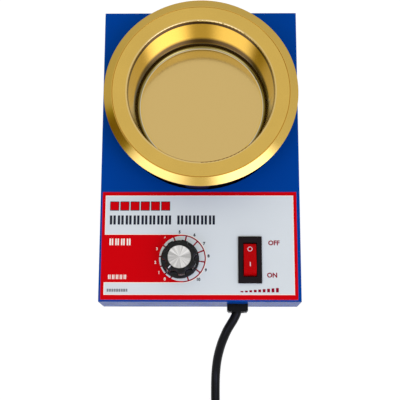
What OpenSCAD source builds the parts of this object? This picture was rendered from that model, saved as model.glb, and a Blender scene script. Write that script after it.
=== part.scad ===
/* [Case] */
// Width of the steel case
case_w = 138; // [132:1:160]
// Length of the steel case, front to back
case_l = 209; // [200:1:240]
// Height of the cover's folded walls
wall_h = 36; // [35:0.5:48]
// Thickness of the cover's and the base plate's sheet
sheet_t = 1; // [0.8:0.1:1.2]
// Outside radius of the cover's bends
bend_r = 1.2; // [1.2:0.1:1.6]
// Gap between the cover's walls and the base plate's flanges
cover_fit = 0.4; // [0.2:0.1:0.8]
// Height of the base plate's flanges
tray_h = 8; // [7:0.5:9]

/* [Feet] */
// Height of the rubber feet
foot_h = 8; // [6:0.5:12]
// Radius of a foot where it meets the base plate
foot_r = 9; // [7.5:0.5:11]
// Distance of a foot's centre from the case's sides
foot_inset = 13; // [12:0.5:18]

/* [Crucible] */
// Inside radius of the crucible at its rim
rim_r = 50; // [44:0.5:52]
// Depth of the crucible, rim to floor
pot_depth = 36.5; // [30:0.5:40]
// Height of the rim above the case's top
rim_rise = 29.4; // [26:0.2:34]
// Wall thickness of the crucible
pot_wall = 2.5; // [2:0.1:3]
// Draft of the crucible's wall, in degrees
pot_taper = 6; // [4:0.5:8]
// Inside radius between the crucible's wall and its floor
floor_fillet = 3; // [2:0.5:5]
// Overhang of the rim's flange beyond the jacket
flange_over = 5.1; // [3:0.1:6]
// Thickness of the rim's flange
flange_t = 3; // [2.5:0.1:4]
// Width of the bevel round the flange
bevel_w = 5.3; // [4:0.1:7]
// Drop of the bevel
bevel_drop = 2; // [1:0.1:2.2]
// Sideways offset of the crucible from the middle of the case
pot_dx = 0.8; // [-1:0.1:1]

/* [Jacket] */
// Distance from the crucible's rim radius to the jacket's inside
jacket_gap = 10; // [9.5:0.1:11]
// Thickness of the jacket's rolled sheet
jacket_t = 1; // [0.8:0.1:1.2]
// Direction of the jacket's lapped seam, in degrees
seam_angle = -85.4; // [-110:0.1:-60]
// Height of the spacers under the jacket
spacer_h = 11; // [10:0.5:12]

/* [Knob] */
// Place of the knob, from the middle of the case
knob_x = -13.5; // [-20:0.5:-8]
// Distance of the knob from the case's front
knob_inset = 28.5; // [26:0.5:32]
// Radius of the knob's skirt
skirt_r = 13.1; // [12.5:0.1:14.5]
// Outside radius of the knob's lobes
lobe_r = 11.8; // [11:0.1:12.2]
// Number of lobes round the knob
lobes = 7; // [5:1:8]
// Height of the knob
knob_h = 13.9; // [13:0.1:18]
// Radius of the metal cap
cap_r = 7.8; // [7:0.1:8.2]
// Direction of the pointer at rest, in degrees
pointer_angle = 226; // [200:1:240]

/* [Switch] */
// Place of the switch, from the middle of the case
switch_x = 34.2; // [32:0.1:36]
// Distance of the switch from the case's front
switch_inset = 28.4; // [26:0.1:32]
// Width of the switch's bezel
bezel_w = 16.2; // [15.6:0.1:18]
// Length of the switch's bezel
bezel_l = 32.2; // [32:0.1:36]
// Width of the rocker
rocker_w = 8.6; // [8:0.1:9.2]
// Radius of the rocker's round ends, from its pivot
rocker_r = 12; // [11.6:0.1:12.2]
// Tilt of the rocker to each side, in degrees
rocker_tilt = 15; // [10:1:16]

/* [Label] */
// Thickness of the printed label
label_t = 0.3; // [0.2:0.05:0.5]
// Depth of the label, front to back
label_l = 74.6; // [70:0.1:75]
// Margin at the label's left edge
label_left = 1.6; // [1:0.1:3]
// Margin at the label's right edge
label_right = 2.4; // [1:0.1:3]
// Margin at the label's front edge
label_front = 1.2; // [1.2:0.1:3]

/* [Cord] */
// Diameter of the mains cord
cord_d = 6.3; // [5.8:0.1:6.6]
// Width of the strain relief's head
relief_w = 14.5; // [13:0.5:17]
// Height of the strain relief's head
relief_h = 12; // [11:0.5:14]
// Reach of the strain relief's head in front of the case
relief_out = 5.5; // [5:0.5:8]
// Height of the strain relief above the case's lower edge
relief_z = 16; // [15.5:0.5:18]
// Place of the strain relief, from the middle of the case
relief_x = 26; // [22:0.5:27]

/* [Plug] */
// Radius of the plug's front part
plug_r = 18.5; // [17:0.1:20]
// Length of the plug's moulded body
plug_l = 41; // [38:0.5:48]
// Length of the plug's pins
pin_l = 19; // [17:0.5:20]
// Radius of a plug pin
pin_r = 2.4; // [2:0.1:2.5]
// Distance between the plug's pins
pin_pitch = 19; // [17:0.5:20]

/* [Hidden] */
$fn = 64;
tiny = 0.01;
seat = 0.2;
pin_fit = 0.05;

// Levels of the case
panel_z = foot_h + wall_h;
inner_z = panel_z - sheet_t;
floor_z = foot_h + sheet_t;
face_z = panel_z + label_t;
front_y = -case_l / 2;
side_x = case_w / 2;

// Base plate
tray_w = case_w - 2 * (sheet_t + cover_fit);
tray_l = case_l - 2 * (sheet_t + cover_fit);
tray_notch = 3;
side_screw_z = foot_h + tray_h / 2 + 0.5;
side_screw_y = 78;
clinch_r = 2.8;
clinch_t = 2.2;
foot_x = side_x - foot_inset;
foot_y = case_l / 2 - foot_inset + 0.5;

// Screw sizes: shank radius, head radius, head height
m3 = [1.45, 2.7, 1.9];
m4 = [1.95, 3.6, 2.4];
m3_hole = 1.6;
m4_hole = 2.1;
m3_nut = [5.5, 2.4];
m4_nut = [7, 3.2];
m6_nut = [10, 5];
stud_r = 2.95;

// Crucible
pot_y = case_l / 2 - case_w / 2;
pot_axis = [pot_dx, pot_y, 0];
rim_z = panel_z + rim_rise;
basin_z = rim_z - pot_depth;
pot_bottom_z = basin_z - pot_wall;
fillet_z = basin_z + floor_fillet;
lip_r = 0.9;
groove_w = 0.5;
groove_d = 0.3;
edge_bevel = 0.4;
flange_z = rim_z - flange_t;
function wall_at(z) = rim_r - (rim_z - z) * tan(pot_taper);
function outer_at(z) = wall_at(z) + pot_wall / cos(pot_taper);
fillet_x = wall_at(fillet_z) - floor_fillet / cos(pot_taper);

// Jacket round the crucible
jacket_in = rim_r + jacket_gap;
jacket_out = jacket_in + jacket_t;
flange_r = jacket_out + flange_over;
jacket_hole_r = jacket_out + jacket_t + 0.4;
jacket_z = floor_z + spacer_h;
jacket_floor_z = jacket_z + jacket_t;
jacket_rim_h = 7;
rivet_r = 1.5;
rivet_head = 2.7;
rivet_z = jacket_floor_z + 4;
rivet_angles = [-45, 45, 135, 225];
lap_span = 14;
spacer_r = 4;
spacer_ring = jacket_in * 0.75;
spacer_angles = [90, 210, 330];

// Heater and insulation
band_t = 2.4;
band_z = [pot_bottom_z + 8, flange_z - 5];
band_gap = 6;
ear_t = 1.2;
ear_reach = 7;
ear_h = 12;
ear_z = (band_z[0] + band_z[1]) / 2;
clamp_y = outer_at(ear_z) + band_t + 3.3;
wrap_in = outer_at(flange_z) + band_t + 0.9;
wrap_out = jacket_in - jacket_t - 2 * seat;
wrap_gap_w = 26;
lead_r = 1.2;
lead_x = 9;
lead_y = wrap_in + 0.4;
lead_top_z = ear_z;
lead_low_z = jacket_z - lead_r - seat;

// Knob and potentiometer
knob_y = front_y + knob_inset;
knob_axis = [knob_x, knob_y, 0];
knob_z = face_z + 0.5;
skirt_h = 2.6;
knob_top_z = knob_z + knob_h;
scallop_r = 3.4;
scallop_depth = 2.3;
cap_t = 0.9;
cap_sink = 0.4;
shaft_r = 3;
bush_r = 3.9;
bush_top_z = face_z + 6;
can_r = 12;
can_h = 8.5;
nut_well_r = 8.2;
nut_well_top = bush_top_z + 0.4;
shaft_top_z = knob_top_z - 2.4;
flat_depth = 1;
set_screw_z = nut_well_top + 3;
mark_w = 0.7;
mark_t = 0.3;
pot_lug_y = can_r + 2;
lug_step = 5;

// Switch
switch_y = front_y + switch_inset;
switch_axis = [switch_x, switch_y, 0];
pivot_z = panel_z - 4.1;
bezel_h = 2;
body_w = rocker_w + 4.6;
body_l = bezel_l - 3.8;
cut_gap = 0.2;
well_w = rocker_w + 0.6;
lip_l = 2 * (sqrt(pow(rocker_r, 2) - pow(3.6, 2)) + 0.2);
well_l = 2 * (rocker_r + 0.4);
well_z = pivot_z - 5.2;
body_z = well_z - 1.6;
rocker_pin_r = 1.2;
rocker_face = 7.73;
rocker_dip = 0.6;
rocker_low = 1.5;
blade = [0.8, 6.3, 8];
blade_dx = 3.4;
blade_dy = 6;

// Control board
board = [56, 44, 1.6];
board_x = -side_x + 7;
board_y = front_y + 14;
board_gap = 6;
board_z = floor_z + board_gap;
board_top = board_z + board[2];
board_hole_x = [4, board[0] - 4];
board_hole_y = [11, board[1] - 3];
sink = [14, 23, 16];
sink_x = board_x + 2;
sink_y = board_y + 15;
sink_fin = 1.6;
sink_web = 3;
triac_y = sink_y + sink[1] - 8;
choke_at = [board_x + 34, board_y + 24];

// Terminal block
block = [18, 36, 15];
block_x = side_x - 9 - block[0];
block_y = front_y + 17;
block_step = 12;
function pole_y(i) = block_y + (i + 0.5) * block_step;
wire_z = floor_z + 7.5;

// Strain relief
entry_z = foot_h + relief_z;
neck_r = 6;
collar_r = 6.8;
collar_l = 7;
cord_r = cord_d / 2;
cord_end_y = front_y + 10.5;
mouth_r = cord_r + 1.6;
mouth_l = 5;
lay_y = front_y - 1.5;

// Earth point
earth_x = 14;
earth_inset = 44;
earth_y = front_y + earth_inset;

// The cord's route: from the strain relief to the coil, and from the coil to the plug
cord_out = [
    [26, -106, 24], [26, -108, 24], [25.2, -111, 24], [23.2, -115, 23.4], [21, -118.5, 22.4],
    [18.9, -122, 21], [17, -126, 19], [15.3, -130, 16.6], [13.8, -134.5, 13.6], [12.6, -139, 10.6],
    [11.7, -144, 7.8], [11.1, -149.5, 5.4], [10.8, -155, 4], [10.7, -161, 3.4], [10.7, -168, 3.2],
    [10.8, -176, 3.2], [11, -186, 3.2], [11.2, -197, 3.3], [11.3, -209, 3.5], [11.3, -222, 3.6]];
cord_back = [
    [-31, -179.7, 9.9], [-20, -179.7, 9.9], [-9, -179.7, 10], [1, -179.7, 10.2], [9, -179.9, 10.7],
    [16.5, -181.2, 12], [23.5, -184.4, 13.8], [29.4, -189, 15.6], [33.6, -195, 17.2],
    [35.6, -202, 18.2], [36, -208, 18.5], [36, -214, 18.5]];
cord_sides = 10;
wire_r = 1.1;
wire_sides = 8;
coil_at = [-31, -222];
coil_in = 29.7;
coil_out = 42.3;
coil_low = 0.45;
coil_rows = 2;
tie_t = 0.4;
tie_w = 5;

// Plug: it lies on the table behind the coil, its tail towards the case
tail_at = cord_back[len(cord_back) - 1];
tail_l = 24;
tail_r = 4.3;
plug_y = tail_at[1] - tail_l;
plug_face_y = plug_y - plug_l;
clip_w = 6;
clip_t = 0.8;

// ---- shared shapes ----

// A profile, w wide and h high, with its two upper corners rounded
module folded_profile(w, h, r) {
    translate([-w / 2, 0]) square([w, h - r]);
    translate([-w / 2 + r, 0]) square([w - 2 * r, h]);
    for (s = [-1, 1]) translate([s * (w / 2 - r), h - r]) circle(r);
}

// A block whose upper edges are bent to radius r
module folded_block(w, l, h, r) {
    intersection() {
        rotate([90, 0, 0]) linear_extrude(l, center = true) folded_profile(w, h, r);
        rotate([90, 0, 90]) linear_extrude(w, center = true) folded_profile(l, h, r);
    }
}

// A block whose upper edges are chamfered
module chamfered_block(w, l, h, c) {
    function section(a) = [[-a / 2, 0], [a / 2, 0], [a / 2, h - c], [a / 2 - c, h],
        [c - a / 2, h], [-a / 2, h - c]];
    intersection() {
        rotate([90, 0, 0]) linear_extrude(l, center = true) polygon(section(w));
        rotate([90, 0, 90]) linear_extrude(w, center = true) polygon(section(l));
    }
}

// A rectangle with round corners
module rounded_rect(w, h, r) {
    square([w, h - 2 * r], center = true);
    square([w - 2 * r, h], center = true);
    for (x = [-1, 1], y = [-1, 1]) translate([x * (w / 2 - r), y * (h / 2 - r)]) circle(r);
}

// A slot along Y with round ends, cut along Z
module slot(w, l, h) {
    cube([w, l - w, h], center = true);
    for (s = [-1, 1]) translate([0, s * (l - w) / 2, 0]) cylinder(r = w / 2, h = h, center = true);
}

// A pan-head screw whose head stands on z = 0 and whose shank goes down
module screw(size, length) {
    difference() {
        union() {
            cylinder(r = size[1], h = size[2] * 0.6);
            translate([0, 0, size[2] * 0.6]) cylinder(r1 = size[1], r2 = size[1] * 0.75, h = size[2] * 0.4);
            translate([0, 0, -length]) cylinder(r = size[0], h = length + tiny);
        }
        translate([0, 0, size[2]]) cube([3 * size[1], 0.7, size[2]], center = true);
    }
}

// A hexagon nut on z = 0
module nut(size, bore) {
    difference() {
        cylinder(d = size[0] / cos(30), h = size[1], $fn = 6);
        translate([0, 0, -1]) cylinder(r = bore, h = size[1] + 2);
    }
}

module at_pot() {
    translate(pot_axis) children();
}

module at_feet() {
    for (x = [-foot_x, foot_x], y = [-foot_y, foot_y]) translate([x, y, 0]) children();
}

module at_spacers() {
    for (a = spacer_angles) translate(pot_axis + spacer_ring * [cos(a), sin(a), 0]) children();
}

module at_board_holes() {
    for (x = board_hole_x, y = board_hole_y) translate([board_x + x, board_y + y, 0]) children();
}

// Faces across the case's sides at the cover screws, with +Z pointing out of the side
module at_side_screws() {
    for (s = [-1, 1], y = [-side_screw_y, side_screw_y])
        translate([s * side_x, y, side_screw_z]) rotate([0, s * 90, 0]) children();
}

module at_block_screws() {
    for (i = [0.5, 1.5]) translate([block_x + block[0] / 2, pole_y(i), 0]) children();
}

// ---- round tubes along a route ----

function unit(v) = v / norm(v);
function heading(p, i) = unit(p[min(i + 1, len(p) - 1)] - p[max(i - 1, 0)]);
function carried(p, i, side) =
    i == len(p) ? [] :
    let (t = heading(p, i), s = unit(side - (side * t) * t)) concat([s], carried(p, i + 1, s));

module tube(p, r, sides) {
    side = carried(p, 0, abs(heading(p, 0)[2]) > 0.9 ? [1, 0, 0] : [0, 0, 1]);
    rings = [for (i = [0:len(p) - 1], k = [0:sides - 1])
        p[i] + r * (cos(360 * k / sides) * side[i] + sin(360 * k / sides) * cross(heading(p, i), side[i]))];
    last = (len(p) - 1) * sides;
    polyhedron(rings, concat(
        [[for (k = [0:sides - 1]) k]],
        [for (i = [0:len(p) - 2], k = [0:sides - 1])
            [i * sides + k, (i + 1) * sides + k,
                (i + 1) * sides + (k + 1) % sides, i * sides + (k + 1) % sides]],
        [[for (k = [sides - 1:-1:0]) last + k]]));
}

// ---- case ----

module top_cover() {
    vents = 9;
    vent_step = 8;
    color("#0a3f9e") difference() {
        translate([0, 0, foot_h]) folded_block(case_w, case_l, wall_h, bend_r);
        translate([0, 0, foot_h - 1]) folded_block(case_w - 2 * sheet_t, case_l - 2 * sheet_t,
            wall_h - sheet_t + 1, bend_r - sheet_t + 0.2);
        at_pot() translate([0, 0, inner_z - 1]) cylinder(r = jacket_hole_r, h = sheet_t + 2, $fn = 128);
        translate(knob_axis) translate([0, 0, inner_z - 1]) cylinder(r = bush_r + 0.2, h = sheet_t + 2);
        translate(switch_axis) translate([0, 0, panel_z])
            cube([body_w + 2 * cut_gap, body_l + 2 * cut_gap, 4 * sheet_t], center = true);
        translate([relief_x, front_y, entry_z]) rotate([90, 0, 0])
            cylinder(r = neck_r + cut_gap, h = 4 * sheet_t, center = true);
        at_side_screws() cylinder(r = m3_hole, h = 4 * sheet_t, center = true);
        // Vent slots in both sides, beside the crucible
        for (s = [-1, 1], i = [0:vents - 1])
            translate([s * side_x, pot_y + (i - (vents - 1) / 2) * vent_step, foot_h + wall_h * 0.58])
                rotate([90, 0, 90]) slot(2.6, wall_h * 0.42, 4 * sheet_t);
        // Open seams where the folded walls meet
        for (x = [-1, 1], y = [-1, 1])
            translate([x * (side_x - sheet_t / 2), y * (case_l / 2 - sheet_t - 0.15),
                foot_h + (wall_h - bend_r) / 2 - 1])
                cube([2 * sheet_t, 0.3, wall_h - bend_r], center = true);
    }
}

module base_plate() {
    vents = 7;
    color("#1f3f86") difference() {
        union() {
            difference() {
                translate([-tray_w / 2, -tray_l / 2, foot_h]) cube([tray_w, tray_l, tray_h]);
                translate([-tray_w / 2 + sheet_t, -tray_l / 2 + sheet_t, floor_z])
                    cube([tray_w - 2 * sheet_t, tray_l - 2 * sheet_t, tray_h]);
            }
            // Clinch nuts behind the cover screws
            at_side_screws() translate([0, 0, -2 * sheet_t - cover_fit - clinch_t])
                cylinder(r = clinch_r, h = clinch_t + sheet_t / 2);
        }
        at_side_screws() translate([0, 0, -8]) cylinder(r = m3[0] + pin_fit, h = 10);
        for (x = [-1, 1], y = [-1, 1])
            translate([x * tray_w / 2, y * tray_l / 2, floor_z + tray_h / 2])
                cube([2 * tray_notch, 2 * tray_notch, tray_h], center = true);
        at_feet() cylinder(r = m4_hole, h = 3 * foot_h);
        at_spacers() cylinder(r = m4_hole, h = 3 * foot_h);
        at_board_holes() cylinder(r = m3_hole, h = 3 * foot_h);
        at_block_screws() cylinder(r = m3_hole, h = 3 * foot_h);
        translate([earth_x, earth_y, 0]) cylinder(r = m4_hole, h = 3 * foot_h);
        // Rows of vent slots under the heater and under the board
        for (s = [-1, 1], i = [0:vents - 1])
            translate([s * 14 + pot_dx, pot_y + (i - (vents - 1) / 2) * 9, foot_h])
                rotate([0, 0, 90]) slot(3, 16, 4 * sheet_t);
        for (i = [0:4])
            translate([board_x + board[0] / 2, board_y + 8 + 7 * i, foot_h])
                rotate([0, 0, 90]) slot(3, 24, 4 * sheet_t);
    }
}

module rubber_feet() {
    color("#1c1c1c") at_feet() difference() {
        rotate_extrude()
            polygon([[0, 0], [foot_r - 2, 0], [foot_r - 1.4, 0.6], [foot_r, foot_h], [0, foot_h]]);
        translate([0, 0, -1]) cylinder(r = m4_hole, h = foot_h + 2);
        translate([0, 0, -1]) cylinder(r = m4[1] + 0.6, h = foot_h / 2 + 1);
    }
}

module foot_screws() {
    color("#b9bcc0") at_feet() translate([0, 0, foot_h / 2]) mirror([0, 0, 1])
        screw(m4, foot_h / 2 + sheet_t + m4_nut[1] + 1);
}

module foot_nuts() {
    color("#b9bcc0") at_feet() translate([0, 0, floor_z]) nut(m4_nut, m4[0] + pin_fit);
}

module cover_screws() {
    color("#b9bcc0") at_side_screws() screw(m3, 7);
}

// The printed sheet on the control panel
module control_label() {
    label_w = case_w - label_left - label_right;
    color("#d2d4da") difference() {
        translate([-side_x + label_left, front_y + label_front, panel_z]) cube([label_w, label_l, label_t]);
        at_pot() translate([0, 0, panel_z - 1]) cylinder(r = jacket_hole_r, h = 3, $fn = 128);
        translate(knob_axis) translate([0, 0, panel_z - 1]) cylinder(r = bush_r + 0.2, h = 3);
        translate(switch_axis) translate([0, 0, panel_z])
            cube([body_w + 2 * cut_gap, body_l + 2 * cut_gap, 3], center = true);
    }
}

// ---- crucible and heater ----

// The part of a circle between straight down and the normal of the crucible's wall
module fillet_sector(r) {
    translate([fillet_x, fillet_z]) intersection() {
        circle(r);
        polygon([[0, 0], [0, -2 * r], [2 * r, -2 * r], 2 * r * [cos(pot_taper), -sin(pot_taper)]]);
    }
}

// Half of the crucible's outside, from the axis outwards
module pot_outside() {
    r = floor_fillet + pot_wall;
    low_x = fillet_x + r * cos(pot_taper);
    low_z = fillet_z - r * sin(pot_taper);
    polygon([[0, pot_bottom_z], [fillet_x, pot_bottom_z], [fillet_x, fillet_z], [low_x, low_z],
        [outer_at(flange_z), flange_z], [flange_r - edge_bevel, flange_z], [flange_r, flange_z + edge_bevel],
        [flange_r, rim_z - bevel_drop], [flange_r - bevel_w, rim_z], [0, rim_z]]);
    fillet_sector(r);
}

// Half of the crucible's inside
module pot_inside() {
    low_x = fillet_x + floor_fillet * cos(pot_taper);
    low_z = fillet_z - floor_fillet * sin(pot_taper);
    lip = [wall_at(rim_z - lip_r) + lip_r / cos(pot_taper), rim_z - lip_r];
    top_x = lip[0] - lip_r * cos(pot_taper);
    top_z = lip[1] + lip_r * sin(pot_taper);
    polygon([[0, basin_z], [fillet_x, basin_z], [fillet_x, fillet_z], [low_x, low_z],
        [top_x, top_z], [top_x, rim_z + 1], [0, rim_z + 1]]);
    fillet_sector(floor_fillet);
    // The rim's rounded lip
    difference() {
        polygon([[top_x, top_z], [lip[0], rim_z], [lip[0], rim_z + 1], [top_x, rim_z + 1]]);
        translate(lip) circle(lip_r);
    }
}

module crucible() {
    groove_x = flange_r - bevel_w - groove_w;
    color("#d0a84f") at_pot() {
        rotate_extrude($fn = 128) difference() {
            pot_outside();
            pot_inside();
            // A turned line beside the bevel
            polygon([[groove_x - groove_w / 2, rim_z + tiny], [groove_x + groove_w / 2, rim_z + tiny],
                [groove_x, rim_z - groove_d]]);
        }
        translate([0, 0, jacket_z - m6_nut[1] - 2.6])
            cylinder(r = stud_r, h = pot_bottom_z - jacket_z + m6_nut[1] + 3);
    }
}

module crucible_washer() {
    color("#b9bcc0") at_pot() translate([0, 0, jacket_z - 1.2]) difference() {
        cylinder(r = 8, h = 1.2);
        translate([0, 0, -1]) cylinder(r = stud_r + seat, h = 4);
    }
}

module crucible_nut() {
    color("#b9bcc0") at_pot() translate([0, 0, jacket_z - 1.2 - m6_nut[1]]) nut(m6_nut, stud_r + pin_fit);
}

// A band whose inside follows the crucible's draft, with two ears for its clamp screw
module heater_band() {
    z = band_z;
    ear_y = -outer_at(ear_z) - seat - (band_t + ear_reach) / 2;
    color("#c9b48a") at_pot() difference() {
        union() {
            rotate_extrude($fn = 128) polygon([
                [outer_at(z[0]) + seat, z[0]], [outer_at(z[0]) + seat + band_t, z[0]],
                [outer_at(z[1]) + seat + band_t, z[1]], [outer_at(z[1]) + seat, z[1]]]);
            for (s = [-1, 1]) translate([s * (band_gap + ear_t) / 2, ear_y, ear_z])
                cube([ear_t, ear_reach, ear_h], center = true);
        }
        translate([0, -rim_r, ear_z]) cube([band_gap, 40, 4 * ear_h], center = true);
        translate([0, -clamp_y, ear_z]) rotate([0, 90, 0]) cylinder(r = m3_hole, h = 30, center = true);
    }
}

module clamp_screw() {
    grip = band_gap + 2 * ear_t;
    color("#b9bcc0") at_pot() translate([grip / 2, -clamp_y, ear_z]) rotate([0, 90, 0])
        screw(m3, grip + m3_nut[1] + 1);
}

module clamp_nut() {
    color("#b9bcc0") at_pot() translate([-band_gap / 2 - ear_t, -clamp_y, ear_z]) rotate([0, -90, 0])
        nut(m3_nut, m3[0] + pin_fit);
}

// Two sleeved leads: down inside the jacket, through its floor and forward
module heater_leads() {
    hot = pot_axis + [-lead_x, -lead_y, 0];
    back = pot_axis + [lead_x, -lead_y, 0];
    lead_end = [board_x + 30, board_y + board[1] - 8, board_top];
    half_way = [(hot[0] + lead_end[0]) / 2, (hot[1] + lead_end[1]) / 2, board_top + 4.5];
    block_in = [block_x, pole_y(2), wire_z];
    color("#e8e4d8") {
        tube([hot + [0, 0, lead_top_z], hot + [0, 0, jacket_z], hot + [-0.5, -1, lead_low_z],
            hot + [-3, -3.5, lead_low_z], half_way,
            lead_end + [2, 4, 5], lead_end + [0, 1, 4.5], lead_end + [0, 0, 2.5], lead_end], lead_r, wire_sides);
        tube([back + [0, 0, lead_top_z], back + [0, 0, jacket_z], back + [0.3, -1.2, lead_low_z],
            back + [2, -8, wire_z], block_in + [-8, 6, 0], block_in + [-3, 0, 0], block_in],
            lead_r, wire_sides);
    }
}

module insulation_wrap() {
    color("#ece9df") at_pot() difference() {
        translate([0, 0, jacket_floor_z])
            cylinder(r = wrap_out, h = flange_z - jacket_floor_z - seat, $fn = 128);
        translate([0, 0, jacket_floor_z - 1]) cylinder(r = wrap_in, h = flange_z, $fn = 128);
        translate([0, -wrap_out, ear_z]) cube([wrap_gap_w, 24, 4 * ear_z], center = true);
    }
}

module insulation_disc() {
    color("#ece9df") at_pot() difference() {
        translate([0, 0, jacket_floor_z])
            cylinder(r = wrap_in - seat, h = pot_bottom_z - jacket_floor_z, $fn = 128);
        translate([0, 0, jacket_floor_z - 1]) cylinder(r = stud_r + seat, h = pot_bottom_z);
        for (a = spacer_angles)
            translate(spacer_ring * [cos(a), sin(a), 0] + [0, 0, jacket_floor_z - 1])
                cylinder(r = m4_nut[0] / 2 + 1.4, h = m4_nut[1] + 4);
        translate([0, -wrap_out, ear_z]) cube([wrap_gap_w, 12, 4 * ear_z], center = true);
    }
}

// A rolled sheet whose stepped end laps over its other end at the seam
module heat_jacket() {
    h = flange_z - jacket_z;
    lap_out = jacket_out + jacket_t;
    step_top = lap_out * [cos(lap_span), -sin(lap_span)];
    step = step_top - jacket_out * [cos(lap_span + 2), -sin(lap_span + 2)];
    color("#161616") at_pot() translate([0, 0, jacket_z]) difference() {
        rotate([0, 0, seam_angle]) linear_extrude(h) difference() {
            union() {
                circle(jacket_out, $fn = 128);
                intersection() {
                    rotate(90) circle(lap_out, $fn = 128);
                    polygon([[jacket_out - 3, 0], [lap_out + 3, 0],
                        step_top + 3 * step, step_top - 3 * step]);
                }
            }
            circle(jacket_in, $fn = 128);
        }
        for (a = rivet_angles)
            rotate([0, 0, a]) translate([jacket_out, 0, rivet_z - jacket_z]) rotate([0, 90, 0])
            cylinder(r = rivet_r + pin_fit, h = 12, center = true);
    }
}

module jacket_floor() {
    r = jacket_in - seat;
    color("#8d9196") at_pot() difference() {
        translate([0, 0, jacket_z]) cylinder(r = r, h = jacket_t + jacket_rim_h, $fn = 128);
        translate([0, 0, jacket_floor_z]) cylinder(r = r - jacket_t, h = jacket_rim_h + 1, $fn = 128);
        translate([0, 0, jacket_z - 1]) cylinder(r = stud_r + seat, h = jacket_t + 2);
        for (s = [-1, 1]) translate([s * lead_x, -lead_y, jacket_z - 1])
            cylinder(r = lead_r + seat, h = jacket_t + 2);
        for (a = spacer_angles) translate(spacer_ring * [cos(a), sin(a), 0] + [0, 0, jacket_z - 1])
            cylinder(r = m4_hole, h = jacket_t + 2);
        for (a = rivet_angles) rotate([0, 0, a]) translate([r, 0, rivet_z]) rotate([0, 90, 0])
            cylinder(r = rivet_r + pin_fit, h = 12, center = true);
    }
}

module jacket_rivets() {
    inner = jacket_in - seat - jacket_t;
    color("#8d9196") at_pot() for (a = rivet_angles) rotate([0, 0, a]) {
        translate([inner, 0, rivet_z]) rotate([0, 90, 0])
            cylinder(r = rivet_r, h = jacket_out - inner + 0.2);
        translate([jacket_out + 0.1, 0, rivet_z]) rotate([0, 90, 0])
            cylinder(r1 = rivet_head, r2 = rivet_r, h = 1);
    }
}

module jacket_spacers() {
    color("#b9bcc0") at_spacers() translate([0, 0, floor_z]) difference() {
        cylinder(r = spacer_r, h = spacer_h);
        translate([0, 0, -1]) cylinder(r = m4_hole, h = spacer_h + 2);
    }
}

module jacket_bolts() {
    color("#b9bcc0") at_spacers() translate([0, 0, foot_h]) mirror([0, 0, 1])
        screw(m4, sheet_t + spacer_h + jacket_t + m4_nut[1] + 1);
}

module jacket_nuts() {
    color("#b9bcc0") at_spacers() translate([0, 0, jacket_floor_z]) nut(m4_nut, m4[0] + pin_fit);
}

// ---- knob and potentiometer ----

module potentiometer() {
    color("#9a9ea3") translate(knob_axis) difference() {
        union() {
            translate([0, 0, inner_z - can_h]) cylinder(r = can_r, h = can_h - 1);
            translate([0, 0, inner_z - 1]) cylinder(r = can_r - 0.8, h = 1);
            translate([0, 0, inner_z - tiny]) cylinder(r = bush_r, h = bush_top_z - inner_z);
            for (i = [-1:1]) translate([i * lug_step, pot_lug_y - 3, inner_z - can_h + 2])
                cube([2, 8, 0.8], center = true);
        }
        translate([0, 0, inner_z - can_h + 2]) cylinder(r = shaft_r + pin_fit, h = bush_top_z);
    }
}

module bush_washer() {
    color("#c4c7ca") translate(knob_axis) translate([0, 0, face_z]) difference() {
        cylinder(r = 6.6, h = 0.6);
        translate([0, 0, -1]) cylinder(r = bush_r + seat, h = 3);
    }
}

module bush_nut() {
    color("#c4c7ca") translate(knob_axis) translate([0, 0, face_z + 0.6]) nut([10, 2.2], bush_r + pin_fit);
}

module knob_shaft() {
    low = inner_z - can_h + 2.2;
    color("#c4c7ca") translate(knob_axis) rotate([0, 0, pointer_angle]) difference() {
        translate([0, 0, low]) cylinder(r = shaft_r, h = shaft_top_z - low);
        translate([-shaft_r - 1, -shaft_r, bush_top_z + 1]) cube([flat_depth + 1, 2 * shaft_r, 20]);
    }
}

// The knob's outline seen from above: a circle with round scallops between its lobes
module lobed_outline() {
    reach = lobe_r - scallop_depth + scallop_r;
    difference() {
        circle(lobe_r);
        for (i = [0:lobes - 1]) rotate((i + 0.5) * 360 / lobes) translate([reach, 0]) circle(scallop_r);
    }
}

module control_knob() {
    color("#1a1a1b") translate(knob_axis) rotate([0, 0, pointer_angle]) difference() {
        union() {
            translate([0, 0, knob_z]) rotate_extrude() polygon([[0, 0], [skirt_r - 0.3, 0], [skirt_r, 0.3],
                [skirt_r, skirt_h - 0.7], [skirt_r - 0.7, skirt_h], [0, skirt_h]]);
            intersection() {
                translate([0, 0, knob_z + 1]) linear_extrude(knob_h - 1) lobed_outline();
                translate([0, 0, knob_z]) rotate_extrude() polygon([[0, 0], [lobe_r + 1, 0],
                    [lobe_r + 1, knob_h - 1.9], [lobe_r - 0.9, knob_h], [0, knob_h]]);
            }
        }
        translate([0, 0, knob_z - 1]) cylinder(r = nut_well_r, h = nut_well_top - knob_z + 1);
        translate([0, 0, knob_z]) cylinder(r = shaft_r + pin_fit, h = shaft_top_z - knob_z + 0.3);
        translate([0, 0, knob_top_z - cap_sink]) cylinder(r = cap_r + 0.1, h = 2);
        translate([0, 0, set_screw_z]) rotate([0, -90, 0]) cylinder(r = 1.5 + pin_fit, h = lobe_r + 2);
        // Grooves that hold the painted pointer
        translate([cap_r + 0.5, -mark_w / 2, knob_top_z - mark_t]) cube([lobe_r - 1.6 - cap_r, mark_w, 2]);
        translate([lobe_r - mark_t, -mark_w / 2, knob_z + skirt_h - mark_t])
            cube([skirt_r - lobe_r - 0.3, mark_w, knob_h - skirt_h - 1.8]);
    }
}

module knob_cap() {
    color("#d4d3cf") translate(knob_axis) translate([0, 0, knob_top_z - cap_sink]) rotate_extrude()
        polygon([[0, 0], [cap_r, 0], [cap_r, cap_t - 0.3], [cap_r - 0.3, cap_t], [0, cap_t]]);
}

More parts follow.
